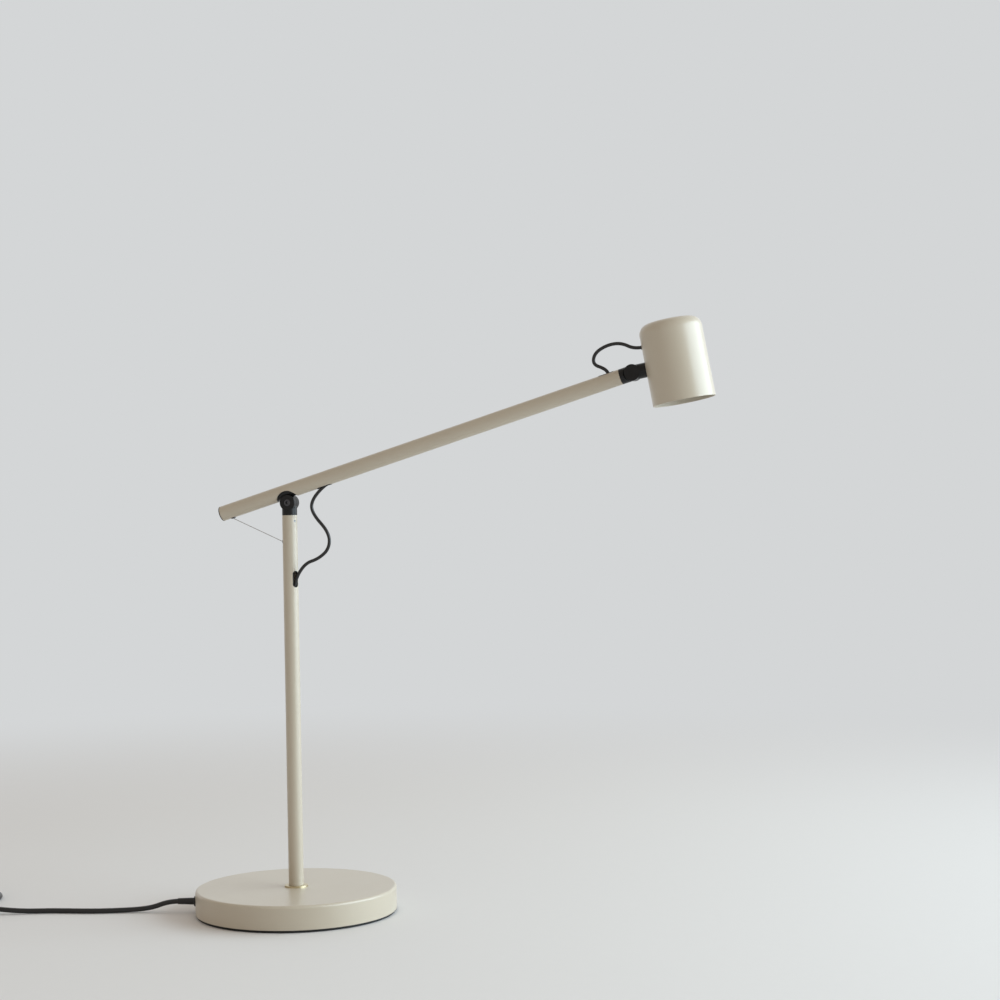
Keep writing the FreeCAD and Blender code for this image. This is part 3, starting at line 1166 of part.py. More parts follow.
def bulb_body():
    """Reflector bulb: neck, conical body and front rim."""
    top = bulb_top()
    face = top - BULB_LENGTH
    shoulder = top - BULB_NECK_LENGTH
    mouth = BULB_FACE_RADIUS - BULB_WALL
    body = turned([
        (0, top), (BULB_NECK_RADIUS, top, 0.8), (BULB_NECK_RADIUS, shoulder),
        (BULB_SHOULDER_RADIUS, shoulder, 2.0), (BULB_FACE_RADIUS, face + BULB_RIM_HEIGHT, 3.0),
        (BULB_FACE_RADIUS, face, 0.6), (mouth, face), (mouth, face + BULB_RIM_HEIGHT - BULB_WALL),
        (BULB_SHOULDER_RADIUS - BULB_WALL, shoulder - BULB_WALL), (0, shoulder - BULB_WALL),
    ])
    return framed(body.translated(V(SHADE_AXIS_X, 0, 0)), HEAD_FRAME)


def bulb_lens():
    """Front lens of the bulb."""
    face = bulb_top() - BULB_LENGTH
    lens = rod(V(SHADE_AXIS_X, 0, face), UP, BULB_FACE_RADIUS - BULB_WALL - FIT, BULB_LENS_THICKNESS)
    return framed(lens, HEAD_FRAME)


# ---- mains cord
def gland_tip():
    """Where the free cord leaves the gland's sleeve."""
    return GLAND_DIRECTION * GLAND_TIP + UP * GLAND_HEIGHT


def switch_end(side):
    """Where the cord meets an end of the switch; the side towards the lamp is -1."""
    height = FLOOR_GAP + SWITCH_HEIGHT / 2
    return V(SWITCH_AT[0], SWITCH_AT[1], height) + SWITCH_DIRECTION * (side * SWITCH_LENGTH / 2)


def mains_cord():
    """Free cord from the gland to the switch."""
    points = [gland_tip()] + [V(*p) for p in MAINS_ROUTE] + [switch_end(-1)]
    return cord("mains_cord", points, MAINS_RADIUS)


def coil_start():
    """Beginning of the coil's tube, one diameter before its first turn."""
    return V(COIL_CENTRE[0] - COIL_OUTER_RADIUS, COIL_CENTRE[1] - 2 * MAINS_RADIUS, MAINS_RADIUS)


def coil_feed():
    """Free cord from the switch to the coil."""
    points = [switch_end(1)] + [V(*p) for p in COIL_FEED_ROUTE] + [coil_start()]
    return cord("coil_feed", points, MAINS_RADIUS)


def coil_point(turn):
    """Centreline of the coil after a number of turns, clockwise from -X: in, up a layer, and out."""
    reverse = COIL_TURNS_IN + COIL_TURNS_CLIMB / 2
    radius = COIL_OUTER_RADIUS - COIL_PITCH * (turn if turn < reverse else 2 * reverse - turn)
    climb = min(max((turn - COIL_TURNS_IN) / COIL_TURNS_CLIMB, 0), 1)
    height = MAINS_RADIUS + COIL_PITCH * climb * climb * (3 - 2 * climb)
    angle = math.pi - 2 * math.pi * turn
    return V(COIL_CENTRE[0] + radius * math.cos(angle), COIL_CENTRE[1] + radius * math.sin(angle), height)


def coil_tangent(turn):
    """Unit direction of the coil's centreline."""
    step = 1e-4
    return (coil_point(turn + step) - coil_point(turn - step)).normalize()


def mains_coil():
    """The put-away length as a round coil in two layers, as one tube, and its way on to the plug."""
    turns = COIL_TURNS_IN + COIL_TURNS_CLIMB + COIL_TURNS_OUT
    quarters = round(turns * 4)
    stations = [turns * i / quarters for i in range(quarters + 1)]
    points = [coil_point(t) for t in stations]
    tangents = [coil_tangent(t) for t in stations]
    tangents[0] = ACROSS
    tangents[-1] = ACROSS
    edges = [Part.LineSegment(coil_start(), points[0]).toShape()]
    for p0, t0, p1, t1 in zip(points, tangents, points[1:], tangents[1:]):
        edges += biarc(p0, t0, p1, t1)
    tail = points[-1] + ACROSS * (2 * MAINS_RADIUS)
    edges.append(Part.LineSegment(points[-1], tail).toShape())
    wire = Part.Wire(edges)
    spaced = wire.discretize(Distance=2.0)
    skip = int(COIL_OUTER_RADIUS)
    least = min(a.distanceToPoint(b) for i, a in enumerate(spaced) for b in spaced[i + skip:])
    tightest = min(e.Curve.Radius for e in wire.Edges if hasattr(e.Curve, "Radius"))
    gap = least - 2 * MAINS_RADIUS
    print("mains_coil length %.1f least gap %.2f tightest radius %.1f" % (wire.Length, gap, tightest))
    return swept(wire, coil_start(), ACROSS, MAINS_RADIUS)


def coil_end():
    """End of the coil's tube."""
    turns = COIL_TURNS_IN + COIL_TURNS_CLIMB + COIL_TURNS_OUT
    return coil_point(turns) + ACROSS * (2 * MAINS_RADIUS)


def plug_relief_tip():
    """Where the cord passes into the plug's strain relief."""
    end = coil_end()
    return V(end.x, end.y + PLUG_TAIL_ROUTE[-1][0] + PLUG_LEAD_IN, FLOOR_GAP + PLUG_THICKNESS / 2)


def plug_feed():
    """Free cord from the coil down to the plug."""
    end = coil_end()
    middle = [V(end.x, end.y + along, height) for along, height in PLUG_TAIL_ROUTE]
    return cord("plug_feed", [end] + middle + [plug_relief_tip()], MAINS_RADIUS)


def plug_frame():
    """The plug's own frame: Z along the plug towards its pins, from the tip of the relief."""
    return Placement(plug_relief_tip(), Rotation(UP, ACROSS))


def plug_body():
    """Flat moulded plug with its tapered strain relief."""
    neck, wide = PLUG_NECK / 2, PLUG_WIDTH / 2
    back = PLUG_RELIEF_LENGTH
    shoulder = back + PLUG_SHOULDER
    front = back + PLUG_LENGTH
    outline = Part.Face(Part.Wire(rounded_edges([
        (-neck, back), (neck, back), (wide, shoulder, 7.0), (wide, front, 2.0), (-wide, front, 2.0),
        (-wide, shoulder, 7.0),
    ])))
    body = outline.extrude(V(0, PLUG_THICKNESS, 0)).translated(V(0, -PLUG_THICKNESS / 2, 0))
    upright = [e for e in body.Edges if abs(e.BoundBox.YLength) < 1e-6]
    body = body.makeFillet(1.6, upright)
    relief = turned([(0, 0), (PLUG_RELIEF_TIP, 0), (PLUG_RELIEF_ROOT, back + 1), (0, back + 1)])
    return framed(body.fuse(relief).removeSplitter(), plug_frame())


def plug_pins():
    """Two round pins with half-spherical tips."""
    front = PLUG_RELIEF_LENGTH + PLUG_LENGTH
    pins = []
    for side in (-PIN_SPACING / 2, PIN_SPACING / 2):
        tip = front + PIN_LENGTH
        pin = turned([(0, front), (PIN_RADIUS, front), (PIN_RADIUS, tip, PIN_RADIUS * 0.9), (0, tip)])
        pins.append(pin.translated(V(side, 0, 0)))
    return framed(Part.makeCompound(pins), plug_frame())


def switch_body():
    """Housing of the cord switch, with a well for the rocker."""
    half_l, half_w = SWITCH_LENGTH / 2, SWITCH_WIDTH / 2
    corners = [(-half_l, -half_w), (half_l, -half_w), (half_l, half_w), (-half_l, half_w)]
    outline = Part.Face(Part.Wire(rounded_edges([(x, y, SWITCH_CORNER) for x, y in corners])))
    body = outline.extrude(V(0, -SWITCH_HEIGHT, 0))
    body = body.transformed(Placement(V(0, 0, 0), Rotation(ALONG, -90)).toMatrix(), copy=True)
    low = body.BoundBox.ZMin
    body = body.translated(V(0, 0, -low))
    top_edges = [e for e in body.Edges if e.BoundBox.ZMin > SWITCH_HEIGHT - 1e-3]
    body = body.makeFillet(2.5, top_edges)
    well_l = ROCKER_LENGTH / 2 + BODY_GAP
    well_w = ROCKER_WIDTH / 2 + BODY_GAP
    well = block(-well_l, well_l, -well_w, well_w, SWITCH_HEIGHT - ROCKER_DEPTH - 2, SWITCH_HEIGHT + 1)
    return framed(body.cut(well), SWITCH_FRAME)


def rocker_axis_height():
    """Height of the rocker's axis above the switch's underside."""
    return SWITCH_HEIGHT - ROCKER_DEPTH / 2


def switch_rocker():
    """Rocker with two faces that slope from a middle ridge, tilted to its off position."""
    half = ROCKER_LENGTH / 2 - 0.3
    slope = half * math.tan(math.radians(ROCKER_TILT))
    top = ROCKER_DEPTH / 2 + 1.2
    outline = Part.Face(Part.Wire(rounded_edges([
        (-half, -ROCKER_DEPTH / 2), (half, -ROCKER_DEPTH / 2), (half, top - slope, 0.6), (0, top),
        (-half, top - slope, 0.6),
    ])))
    body = outline.extrude(V(0, ROCKER_WIDTH, 0)).translated(V(0, -ROCKER_WIDTH / 2, 0))
    tilted = Placement(V(0, 0, rocker_axis_height()), Rotation(ACROSS, ROCKER_TILT))
    return framed(framed(body, tilted), SWITCH_FRAME)


NODES = {
    "base_pad": base_pad, "base_plate": base_plate, "base_plate_screws": base_plate_screws,
    "base_cover": base_cover, "base_weight": base_weight, "bearing_bush": bearing_bush,
    "foot_ring": foot_ring, "stop_pin": stop_pin, "terminal_block": terminal_block,
    "cord_gland": cord_gland, "gland_nut": gland_nut, "base_leads": base_leads,
    "mains_cord": mains_cord, "switch_body": switch_body, "switch_rocker": switch_rocker,
    "coil_feed": coil_feed, "mains_coil": mains_coil, "plug_feed": plug_feed,
    "plug_body": plug_body, "plug_pins": plug_pins,
    "post_foot": post_foot, "swivel_washers": swivel_washers, "swivel_nut": swivel_nut,
    "post_tube": post_tube, "post_slot_grommet": post_slot_grommet, "wire_eyelet": wire_eyelet,
    "post_knuckle": post_knuckle, "post_grub_screw": post_grub_screw,
    "pivot_screw": pivot_screw, "pivot_nut": pivot_nut, "pivot_washers": pivot_washers,
    "roller_fork": roller_fork, "guide_roller": guide_roller,
    "balance_wire": balance_wire, "wire_ferrule": wire_ferrule, "balance_spring": balance_spring,
    "spring_anchor": spring_anchor, "post_lead": post_lead,
    "arm_tube": arm_tube, "arm_end_cap": arm_end_cap, "arm_knuckle": arm_knuckle,
    "arm_insert_screws": arm_insert_screws, "wire_anchor": wire_anchor,
    "arm_slot_grommets": arm_slot_grommets, "arm_lead": arm_lead,
    "pivot_cable_loop": pivot_cable_loop, "arm_collar": arm_collar,
    "head_pivot_washers": head_pivot_washers, "head_pivot_screw": head_pivot_screw,
    "head_stem": head_stem, "stem_fixings": stem_fixings, "head_cable_loop": head_cable_loop,
    "shade": shade, "shade_grommet": shade_grommet, "holder_bracket": holder_bracket,
    "lampholder": lampholder, "head_lead": head_lead, "bulb_body": bulb_body, "bulb_lens": bulb_lens,
}

os.makedirs("parts", exist_ok=True)
for node_name, make in NODES.items():
    node_shape = make()
    node_shape.exportStep("parts/" + node_name + ".step")
    solids = node_shape.Solids
    print(node_name, "solids", len(solids), "valid", node_shape.isValid(),
          "volume %.0f" % sum(s.Volume for s in solids))
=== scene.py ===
"""Balance desk lamp: finishes, cables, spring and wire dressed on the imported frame, in its studio."""

from __future__ import annotations

import logging
import math
from dataclasses import dataclass, field
from enum import Enum
from typing import Any, Mapping, Sequence, Union

import bpy
import numpy as np
from mathutils import Matrix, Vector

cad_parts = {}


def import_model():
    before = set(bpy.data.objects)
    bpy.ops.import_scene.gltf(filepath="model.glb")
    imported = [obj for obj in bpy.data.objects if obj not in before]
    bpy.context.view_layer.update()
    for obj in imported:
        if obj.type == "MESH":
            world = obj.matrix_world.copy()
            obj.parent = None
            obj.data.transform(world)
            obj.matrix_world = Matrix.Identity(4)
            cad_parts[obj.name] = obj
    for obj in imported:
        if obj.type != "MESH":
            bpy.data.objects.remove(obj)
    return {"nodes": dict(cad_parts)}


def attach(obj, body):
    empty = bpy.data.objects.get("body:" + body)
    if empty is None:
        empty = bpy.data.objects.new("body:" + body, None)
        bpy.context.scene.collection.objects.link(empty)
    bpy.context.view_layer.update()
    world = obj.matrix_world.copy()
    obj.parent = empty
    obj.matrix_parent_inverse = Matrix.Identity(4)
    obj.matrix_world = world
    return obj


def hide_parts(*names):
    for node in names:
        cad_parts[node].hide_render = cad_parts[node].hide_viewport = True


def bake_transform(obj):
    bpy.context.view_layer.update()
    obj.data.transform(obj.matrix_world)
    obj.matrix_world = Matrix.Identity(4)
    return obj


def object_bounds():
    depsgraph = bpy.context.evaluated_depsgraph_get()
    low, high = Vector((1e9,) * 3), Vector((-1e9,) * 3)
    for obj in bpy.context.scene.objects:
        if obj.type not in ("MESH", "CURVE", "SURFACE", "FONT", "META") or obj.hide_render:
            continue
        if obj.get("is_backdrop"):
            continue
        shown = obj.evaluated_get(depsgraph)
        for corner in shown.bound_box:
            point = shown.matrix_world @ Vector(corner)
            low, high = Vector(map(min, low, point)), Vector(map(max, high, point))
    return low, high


LOG = logging.getLogger("balance_lamp")
Array = np.ndarray
Colour = tuple[float, float, float]
SHARP_EDGE = math.radians(40)
PICTURE_PIXELS = 1000


class Body(Enum):
    """Moving bodies of the lamp."""

    BASE = "base"
    POST = "post"
    ARM = "arm"
    HEAD = "head"
    WIRE_END = "wire_end"


class Slot(Enum):
    """Names of the material slots for the cable sheath and for steel."""

    SHEATH = "cable_sheath"
    STEEL = "steel"


# ---------------------------------------------------------------- surfaces


def quad_grid(rows: int, columns: int) -> Array:
    """Quads of a tube-like grid whose last column joins its first.

    Point (i, j) has index i * columns + j; each quad runs round first and along second.

    Args:
        rows: number of rings.
        columns: points in each ring.

    Returns:
        Index array of shape (faces, 4).
    """
    i = np.arange(rows - 1)[:, None] * columns
    j = np.arange(columns)[None, :]
    k = (j + 1) % columns
    return np.stack([i + j, i + k, i + columns + k, i + columns + j], axis=-1).reshape(-1, 4)


def fan(ring: Array, centre: int, outward: bool) -> Array:
    """Triangles that close a ring with a centre point.

    Args:
        ring: indices of the ring's points in order.
        centre: index of the centre point.
        outward: whether the faces keep the ring's own turning sense.

    Returns:
        Index array of shape (faces, 3).
    """
    ahead = np.roll(ring, -1)
    first, second = (ring, ahead) if outward else (ahead, ring)
    return np.stack([np.full(len(ring), centre), first, second], axis=-1)


def tube(path: Array, side: Array, radius: Union[float, Array], sides: int) -> tuple[Array, list[list[int]]]:
    """Closed round tube about a path.

    Ring point = path + radius * (side * cos a + (tangent x side) * sin a), with a from 0 to a full turn;
    a centre point and a fan close each end.

    Args:
        path: centreline, shape (n, 3).
        side: unit vectors square to the path, shape (n, 3) or (3,).
        radius: one radius, or one for each ring.
        sides: points in each ring.

    Returns:
        Points of shape (n * sides + 2, 3) and the faces.
    """
    tangent = np.gradient(path, axis=0)
    tangent /= np.linalg.norm(tangent, axis=1, keepdims=True)
    first = np.broadcast_to(side, path.shape)
    first = first - tangent * np.sum(first * tangent, axis=1, keepdims=True)
    first = first / np.linalg.norm(first, axis=1, keepdims=True)
    second = np.cross(tangent, first)
    angle = np.arange(sides) * (2 * math.pi / sides)
    reach = np.broadcast_to(np.asarray(radius, float), (len(path),))[:, None, None]
    rings = path[:, None, :] + reach * (
        first[:, None, :] * np.cos(angle)[None, :, None] + second[:, None, :] * np.sin(angle)[None, :, None]
    )
    points = np.concatenate([rings.reshape(-1, 3), path[:1], path[-1:]])
    last = len(path) * sides
    near = fan(np.arange(sides), last, outward=False)
    far = fan(np.arange(last - sides, last), last + 1, outward=True)
    return points, quad_grid(len(path), sides).tolist() + near.tolist() + far.tolist()


def piece(name: str, points: Array, faces: list[list[int]], material: bpy.types.Material) -> bpy.types.Object:
    """Mesh object at the origin with smooth sides and sharp rims.

    Args:
        name: name of the piece.
        points: vertex positions in metres.
        faces: vertex indices of each face.
        material: its finish.

    Returns:
        The linked object.
    """
    mesh = bpy.data.meshes.new(name)
    mesh.from_pydata(points.tolist(), [], faces)
    mesh.shade_smooth()
    mesh.set_sharp_from_angle(angle=SHARP_EDGE)
    mesh.materials.append(material)
    made = bpy.data.objects.new(name, mesh)
    bpy.context.scene.collection.objects.link(made)
    LOG.info("%s: %d points, %d faces", name, len(mesh.vertices), len(mesh.polygons))
    return made


def nurbs_curve(name: str, points: Array) -> bpy.types.Curve:
    """Curve of one open NURBS spline that starts and ends on its end points.

    Args:
        name: name of the curve.
        points: control points in metres.

    Returns:
        The curve, not yet on an object.
    """
    curve = bpy.data.curves.new(name, "CURVE")
    curve.dimensions = "3D"
    spline = curve.splines.new("NURBS")
    spline.points.add(len(points) - 1)
    spline.points.foreach_set("co", np.column_stack([points, np.ones(len(points))]).ravel())
    spline.order_u = 3
    spline.use_endpoint_u = True
    return curve


def centreline(name: str, points: Array, steps: int) -> Array:
    """Points along a route's NURBS spline, as Blender evaluates the curve with no bevel.

    Args:
        name: name of the route.
        points: control points in metres.
        steps: resolution of the spline.

    Returns:
        Points of shape (n, 3).
    """
    curve = nurbs_curve(name + "_line", points)
    curve.splines[0].resolution_u = steps
    holder = bpy.data.objects.new(curve.name, curve)
    bpy.context.scene.collection.objects.link(holder)
    bpy.context.view_layer.update()
    mesh = bpy.data.meshes.new_from_object(holder.evaluated_get(bpy.context.evaluated_depsgraph_get()))
    line = np.empty(3 * len(mesh.vertices))
    mesh.vertices.foreach_get("co", line)
    bpy.data.objects.remove(holder)
    bpy.data.curves.remove(curve)
    bpy.data.meshes.remove(mesh)
    return line.reshape(-1, 3)


@dataclass(frozen=True)
class TiltedFrame:
    """Axes in the plane of the arm: an origin (x, z) and the rise of the first axis above level."""

    origin: tuple[float, float]
    rise: float

    def at(self, along: float, square: float) -> Array:
        """Point in the XZ plane = origin + along * first axis + square * second axis.

        Args:
            along: distance along the first axis.
            square: distance square to it, upwards.

        Returns:
            The point, with y = 0.
        """
        cos, sin = math.cos(self.rise), math.sin(self.rise)
        x = self.origin[0] + along * cos - square * sin
        z = self.origin[1] + along * sin + square * cos
        return np.array([x, 0.0, z])


ARM_FRAME = TiltedFrame((0.0, 0.491), math.radians(16.8))
HEAD_FRAME = TiltedFrame((0.4230337, 0.6329277), math.radians(10.2))


# ---------------------------------------------------------------- shader wiring


class Signal:
    """Output of a node, with the arithmetic that the finishes are written in."""

    def __init__(self, wiring: "Wiring", socket: bpy.types.NodeSocket) -> None:
        """Wraps a socket of a node tree."""
        self.wiring = wiring
        self.socket = socket

    def _math(self, operation: str, *values: "Value") -> "Signal":
        """Math node on up to three values."""
        inputs = {index: value for index, value in enumerate(values)}
        return self.wiring.add("ShaderNodeMath", {"operation": operation}, inputs)[0]

    def __add__(self, other: "Value") -> "Signal":
        """Sum."""
        return self._math("ADD", self, other)

    __radd__ = __add__

    def __sub__(self, other: "Value") -> "Signal":
        """Difference."""
        return self._math("SUBTRACT", self, other)

    def __rsub__(self, other: "Value") -> "Signal":
        """Difference from a number."""
        return self._math("SUBTRACT", other, self)

    def __mul__(self, other: "Value") -> "Signal":
        """Product."""
        return self._math("MULTIPLY", self, other)

    __rmul__ = __mul__

    def wave(self) -> "Signal":
        """Sine."""
        return self._math("SINE", self)

    def between(self, low: float, high: float) -> "Signal":
        """Smooth step from 0 at low to 1 at high."""
        settings = {"interpolation_type": "SMOOTHSTEP"}
        inputs = {"Value": self, "From Min": low, "From Max": high}
        return self.wiring.add("ShaderNodeMapRange", settings, inputs)[0]


Value = Union[float, Sequence[float], Signal]


class Wiring:
    """Node tree of a material or the world, and the one way in which nodes are added to it."""

    def __init__(self, tree: bpy.types.NodeTree) -> None:
        """Works on a node tree."""
        self.tree = tree

    def feed(self, socket: bpy.types.NodeSocket, value: Value) -> None:
        """Links a signal to a socket, or sets the socket's own value.

        Args:
            socket: input of a node.
            value: signal, number, colour or vector.
        """
        if isinstance(value, Signal):
            self.tree.links.new(value.socket, socket)
        else:
            socket.default_value = value

    def add(
        self, kind: str, settings: Mapping[str, Any], inputs: Mapping[Union[str, int], Value]
    ) -> list[Signal]:
        """Adds a node.

        Args:
            kind: Blender's name of the node type.
            settings: its properties, set first; stops are the (place, colour) pairs of a ramp.
            inputs: values or signals of its sockets, by name or number.

        Returns:
            Its outputs in order.
        """
        node = self.tree.nodes.new(kind)
        for name, setting in settings.items():
            if name != "stops":
                setattr(node, name, setting)
                continue
            elements = node.color_ramp.elements
            for _ in setting[2:]:
                elements.new(0.5)
            for element, (place, colour) in zip(elements, setting):
                element.position = place
                element.color = (*colour, 1.0)
        for name, value in inputs.items():
            self.feed(node.inputs[name], value)
        return [Signal(self, socket) for socket in node.outputs]

    def place(self) -> Signal:
        """Object coordinates, in metres."""
        return self.add("ShaderNodeTexCoord", {}, {})[3]

    def stretched(self, scale: Sequence[float]) -> Signal:
        """Object coordinates scaled along each axis."""
        return self.add("ShaderNodeMapping", {}, {"Vector": self.place(), "Scale": scale})[0]

    def noise(self, scale: float, detail: float = 2.0, where: Union[Signal, None] = None) -> Signal:
        """Cloudy noise from 0 to 1 at a number of features in each metre."""
        inputs = {"Vector": where or self.place(), "Scale": scale, "Detail": detail}
        return self.add("ShaderNodeTexNoise", {}, inputs)[0]

    def cells(self, scale: float) -> Signal:
        """Distance to the nearest of many scattered points, 0 at each point."""
        return self.add("ShaderNodeTexVoronoi", {}, {"Vector": self.place(), "Scale": scale})[0]

    def radius(self) -> Signal:
        """Distance from the Z axis."""
        flat = self.stretched((1.0, 1.0, 0.0))
        return self.add("ShaderNodeVectorMath", {"operation": "LENGTH"}, {0: flat})[1]

    def mixed(self, factor: Value, first: Union[Colour, Signal], second: Union[Colour, Signal]) -> Signal:
        """Colour between two colours."""
        inputs = {0: factor, 6: whole(first), 7: whole(second)}
        return self.add("ShaderNodeMix", {"data_type": "RGBA"}, inputs)[2]

    def relief(self, height: Signal, depth: float, strength: float = 1.0) -> Signal:
        """Normal of a surface whose height varies by a depth in metres."""
        return self.add("ShaderNodeBump", {}, {"Height": height, "Distance": depth, "Strength": strength})[0]


class Coating(Wiring):
    """Node tree of a material round its one surface shader."""

    def __init__(self, name: str) -> None:
        """Makes the material with its own node tree."""
        self.material = bpy.data.materials.new(name)
        self.material.use_nodes = True
        super().__init__(self.material.node_tree)
        self.shader = self.tree.nodes["Principled BSDF"]

    def set(self, **sockets: Value) -> None:
        """Feeds the surface shader's sockets; a socket's name is written with _ for its spaces."""
        for name, value in sockets.items():
            self.feed(self.shader.inputs[name.replace("_", " ")], value)


def whole(colour: Union[Colour, Signal]) -> Value:
    """A plain colour with full opacity, or a signal as it is."""
    return colour if isinstance(colour, Signal) else (*colour, 1.0)


def tinted(colour: Colour, factor: float) -> Colour:
    """Colour made lighter or darker by a factor."""
    return (colour[0] * factor, colour[1] * factor, colour[2] * factor)


def screen(red: int, green: int, blue: int) -> Colour:
    """Linear colour of a screen colour.

    Args:
        red: 0 to 255.
        green: 0 to 255.
        blue: 0 to 255.

    Returns:
        The colour as a shader takes it.
    """
    values = np.array([red, green, blue]) / 255
    linear = np.where(values <= 0.04045, values / 12.92, ((values + 0.055) / 1.055) ** 2.4)
    return (float(linear[0]), float(linear[1]), float(linear[2]))


# ---------------------------------------------------------------- finishes


@dataclass(frozen=True)
class Finish:
    """A surface finish: its colour, its gloss and how both vary."""

    name: str
    colour: Colour
    roughness: float

    def wire(self, coat: Coating) -> None:
        """Feeds the shader; each kind of finish has its own way."""
        raise NotImplementedError

    def material(self) -> bpy.types.Material:
        """Builds the material.

        Returns:
            The material with this finish.
        """
        coat = Coating(self.name)
        self.wire(coat)
        LOG.info("finish %s: %d nodes", self.name, len(coat.tree.nodes))
        return coat.material


@dataclass(frozen=True)
class SatinPaint(Finish):
    """Sprayed satin paint: fine orange peel, faint clouding and handling marks in the gloss."""

    peel: float = 620.0
    clear: float = 0.4

    def wire(self, coat: Coating) -> None:
        """Colour from clouding and flake, gloss from clouding and smears, relief from peel and grit.

        Args:
            coat: tree that the finish is wired in.
        """
        cloud = coat.noise(9.0, 3.0)
        flake = coat.noise(5200.0, 1.0)
        smear = coat.noise(38.0, 4.0, coat.stretched((1.0, 1.0, 0.45)))
        peel = coat.noise(self.peel, 1.5)
        grit = coat.noise(3600.0, 1.0)
        tone = cloud * 0.7 + flake * 0.3
        coat.set(
            Base_Color=coat.mixed(tone, tinted(self.colour, 0.955), tinted(self.colour, 1.045)),
            Roughness=self.roughness + 0.09 * (smear - 0.5) + 0.05 * (grit - 0.5),
            Normal=coat.relief(peel * 0.75 + grit * 0.25, 0.00002, 0.5),
            Coat_Weight=self.clear,
            Coat_Roughness=0.28,
        )


@dataclass(frozen=True)
class PowderCoat(Finish):
    """Black powder coat on metal: close grain, soft sheen and rubbed high spots."""

    grain: float = 1900.0

    def wire(self, coat: Coating) -> None:
        """Gloss and relief from the grain, colour from slow rubbing marks.

        Args:
            coat: tree that the finish is wired in.
        """
        grain = coat.noise(self.grain, 2.0)
        rub = coat.noise(120.0, 3.0)
        coat.set(
            Base_Color=coat.mixed(rub.between(0.35, 0.8), tinted(self.colour, 0.8), tinted(self.colour, 1.5)),
            Roughness=self.roughness + 0.12 * (rub - 0.5) + 0.08 * (grain - 0.5),
            Normal=coat.relief(grain, 0.00003, 0.6),
            Specular_IOR_Level=0.3,
        )


@dataclass(frozen=True)
class MouldedPlastic(Finish):
    """Moulded plastic or rubber with the spark texture of its mould and faint flow marks."""

    texture: float = 2600.0
    depth: float = 0.00005

    def wire(self, coat: Coating) -> None:
        """Relief from the mould's pits, gloss from pits and flow, colour from flow.

        Args:
            coat: tree that the finish is wired in.
        """
        pits = coat.cells(self.texture)
        flow = coat.noise(60.0, 2.0, coat.stretched((1.0, 0.35, 1.0)))
        coat.set(
            Base_Color=coat.mixed(flow, tinted(self.colour, 0.85), tinted(self.colour, 1.2)),
            Roughness=self.roughness + 0.1 * (flow - 0.5) + 0.08 * (pits - 0.5),
            Normal=coat.relief(pits, self.depth, 0.5),
            Specular_IOR_Level=0.4,
        )


@dataclass(frozen=True)
class CableSheath(Finish):
    """Extruded cable sheath: smooth, with slow waves in its gloss and a trace of dust."""

    def wire(self, coat: Coating) -> None:
        """Gloss from extrusion waves, colour from dust, relief from both.

        Args:
            coat: tree that the finish is wired in.
        """
        waves = coat.noise(180.0, 2.0)
        dust = coat.noise(900.0, 3.0).between(0.55, 0.85)
        coat.set(
            Base_Color=coat.mixed(dust * 0.35, self.colour, tinted(self.colour, 3.5)),
            Roughness=self.roughness + 0.12 * (waves - 0.5) + 0.2 * dust,
            Normal=coat.relief(waves + 0.1 * dust, 0.00005, 0.35),
        )


@dataclass(frozen=True)
class DrawnMetal(Finish):
    """Bare metal with fine lines along one axis and a little tarnish."""

    lines: tuple[float, float, float] = (1.0, 1.0, 0.04)
    tarnish: float = 0.75

    def wire(self, coat: Coating) -> None:
        """Lines from noise stretched along the axis, colour and gloss from lines and tarnish.

        Args:
            coat: tree that the finish is wired in.
        """
        lines = coat.noise(4200.0, 2.0, coat.stretched(self.lines))
        patch = coat.noise(260.0, 3.0)
        coat.set(
            Base_Color=coat.mixed(patch.between(0.3, 0.8), self.colour, tinted(self.colour, self.tarnish)),
            Roughness=self.roughness + 0.14 * (lines - 0.5) + 0.1 * (patch - 0.5),
            Normal=coat.relief(lines, 0.00001, 0.5),
            Metallic=1.0,
        )


@dataclass(frozen=True)
class TurnedMetal(Finish):
    """Metal turned on a lathe about the post's axis: fine rings in the gloss and relief."""

    pitch: float = 0.00022
    tarnish: float = 0.8

    def wire(self, coat: Coating) -> None:
        """Rings = sine of the distance from the axis over the tool's feed; colour from tarnish.

        Args:
            coat: tree that the finish is wired in.
        """
        rings = (coat.radius() * (2 * math.pi / self.pitch)).wave() * 0.5 + 0.5
        patch = coat.noise(170.0, 4.0)
        coat.set(
            Base_Color=coat.mixed(patch.between(0.35, 0.85), self.colour, tinted(self.colour, self.tarnish)),
            Roughness=self.roughness + 0.06 * rings + 0.14 * (patch - 0.5),
            Normal=coat.relief(rings, 0.000004, 0.6),
            Metallic=1.0,
        )


@dataclass(frozen=True)
class Casting(Finish):
    """Sand-cast iron under thin grey primer."""

    def wire(self, coat: Coating) -> None:
        """Relief from sand grain and soft hollows, colour from rust and primer.

        Args:
            coat: tree that the finish is wired in.
        """
        sand = coat.noise(900.0, 4.0)
        hollow = coat.noise(90.0, 3.0)
        rust = coat.noise(45.0, 4.0).between(0.55, 0.8)
        coat.set(
            Base_Color=coat.mixed(rust * 0.6, self.colour, (0.13, 0.07, 0.04)),
            Roughness=self.roughness + 0.15 * (sand - 0.5),
            Normal=coat.relief(sand * 0.6 + hollow * 0.4, 0.0003, 0.7),
            Metallic=0.35 - 0.3 * rust,
        )


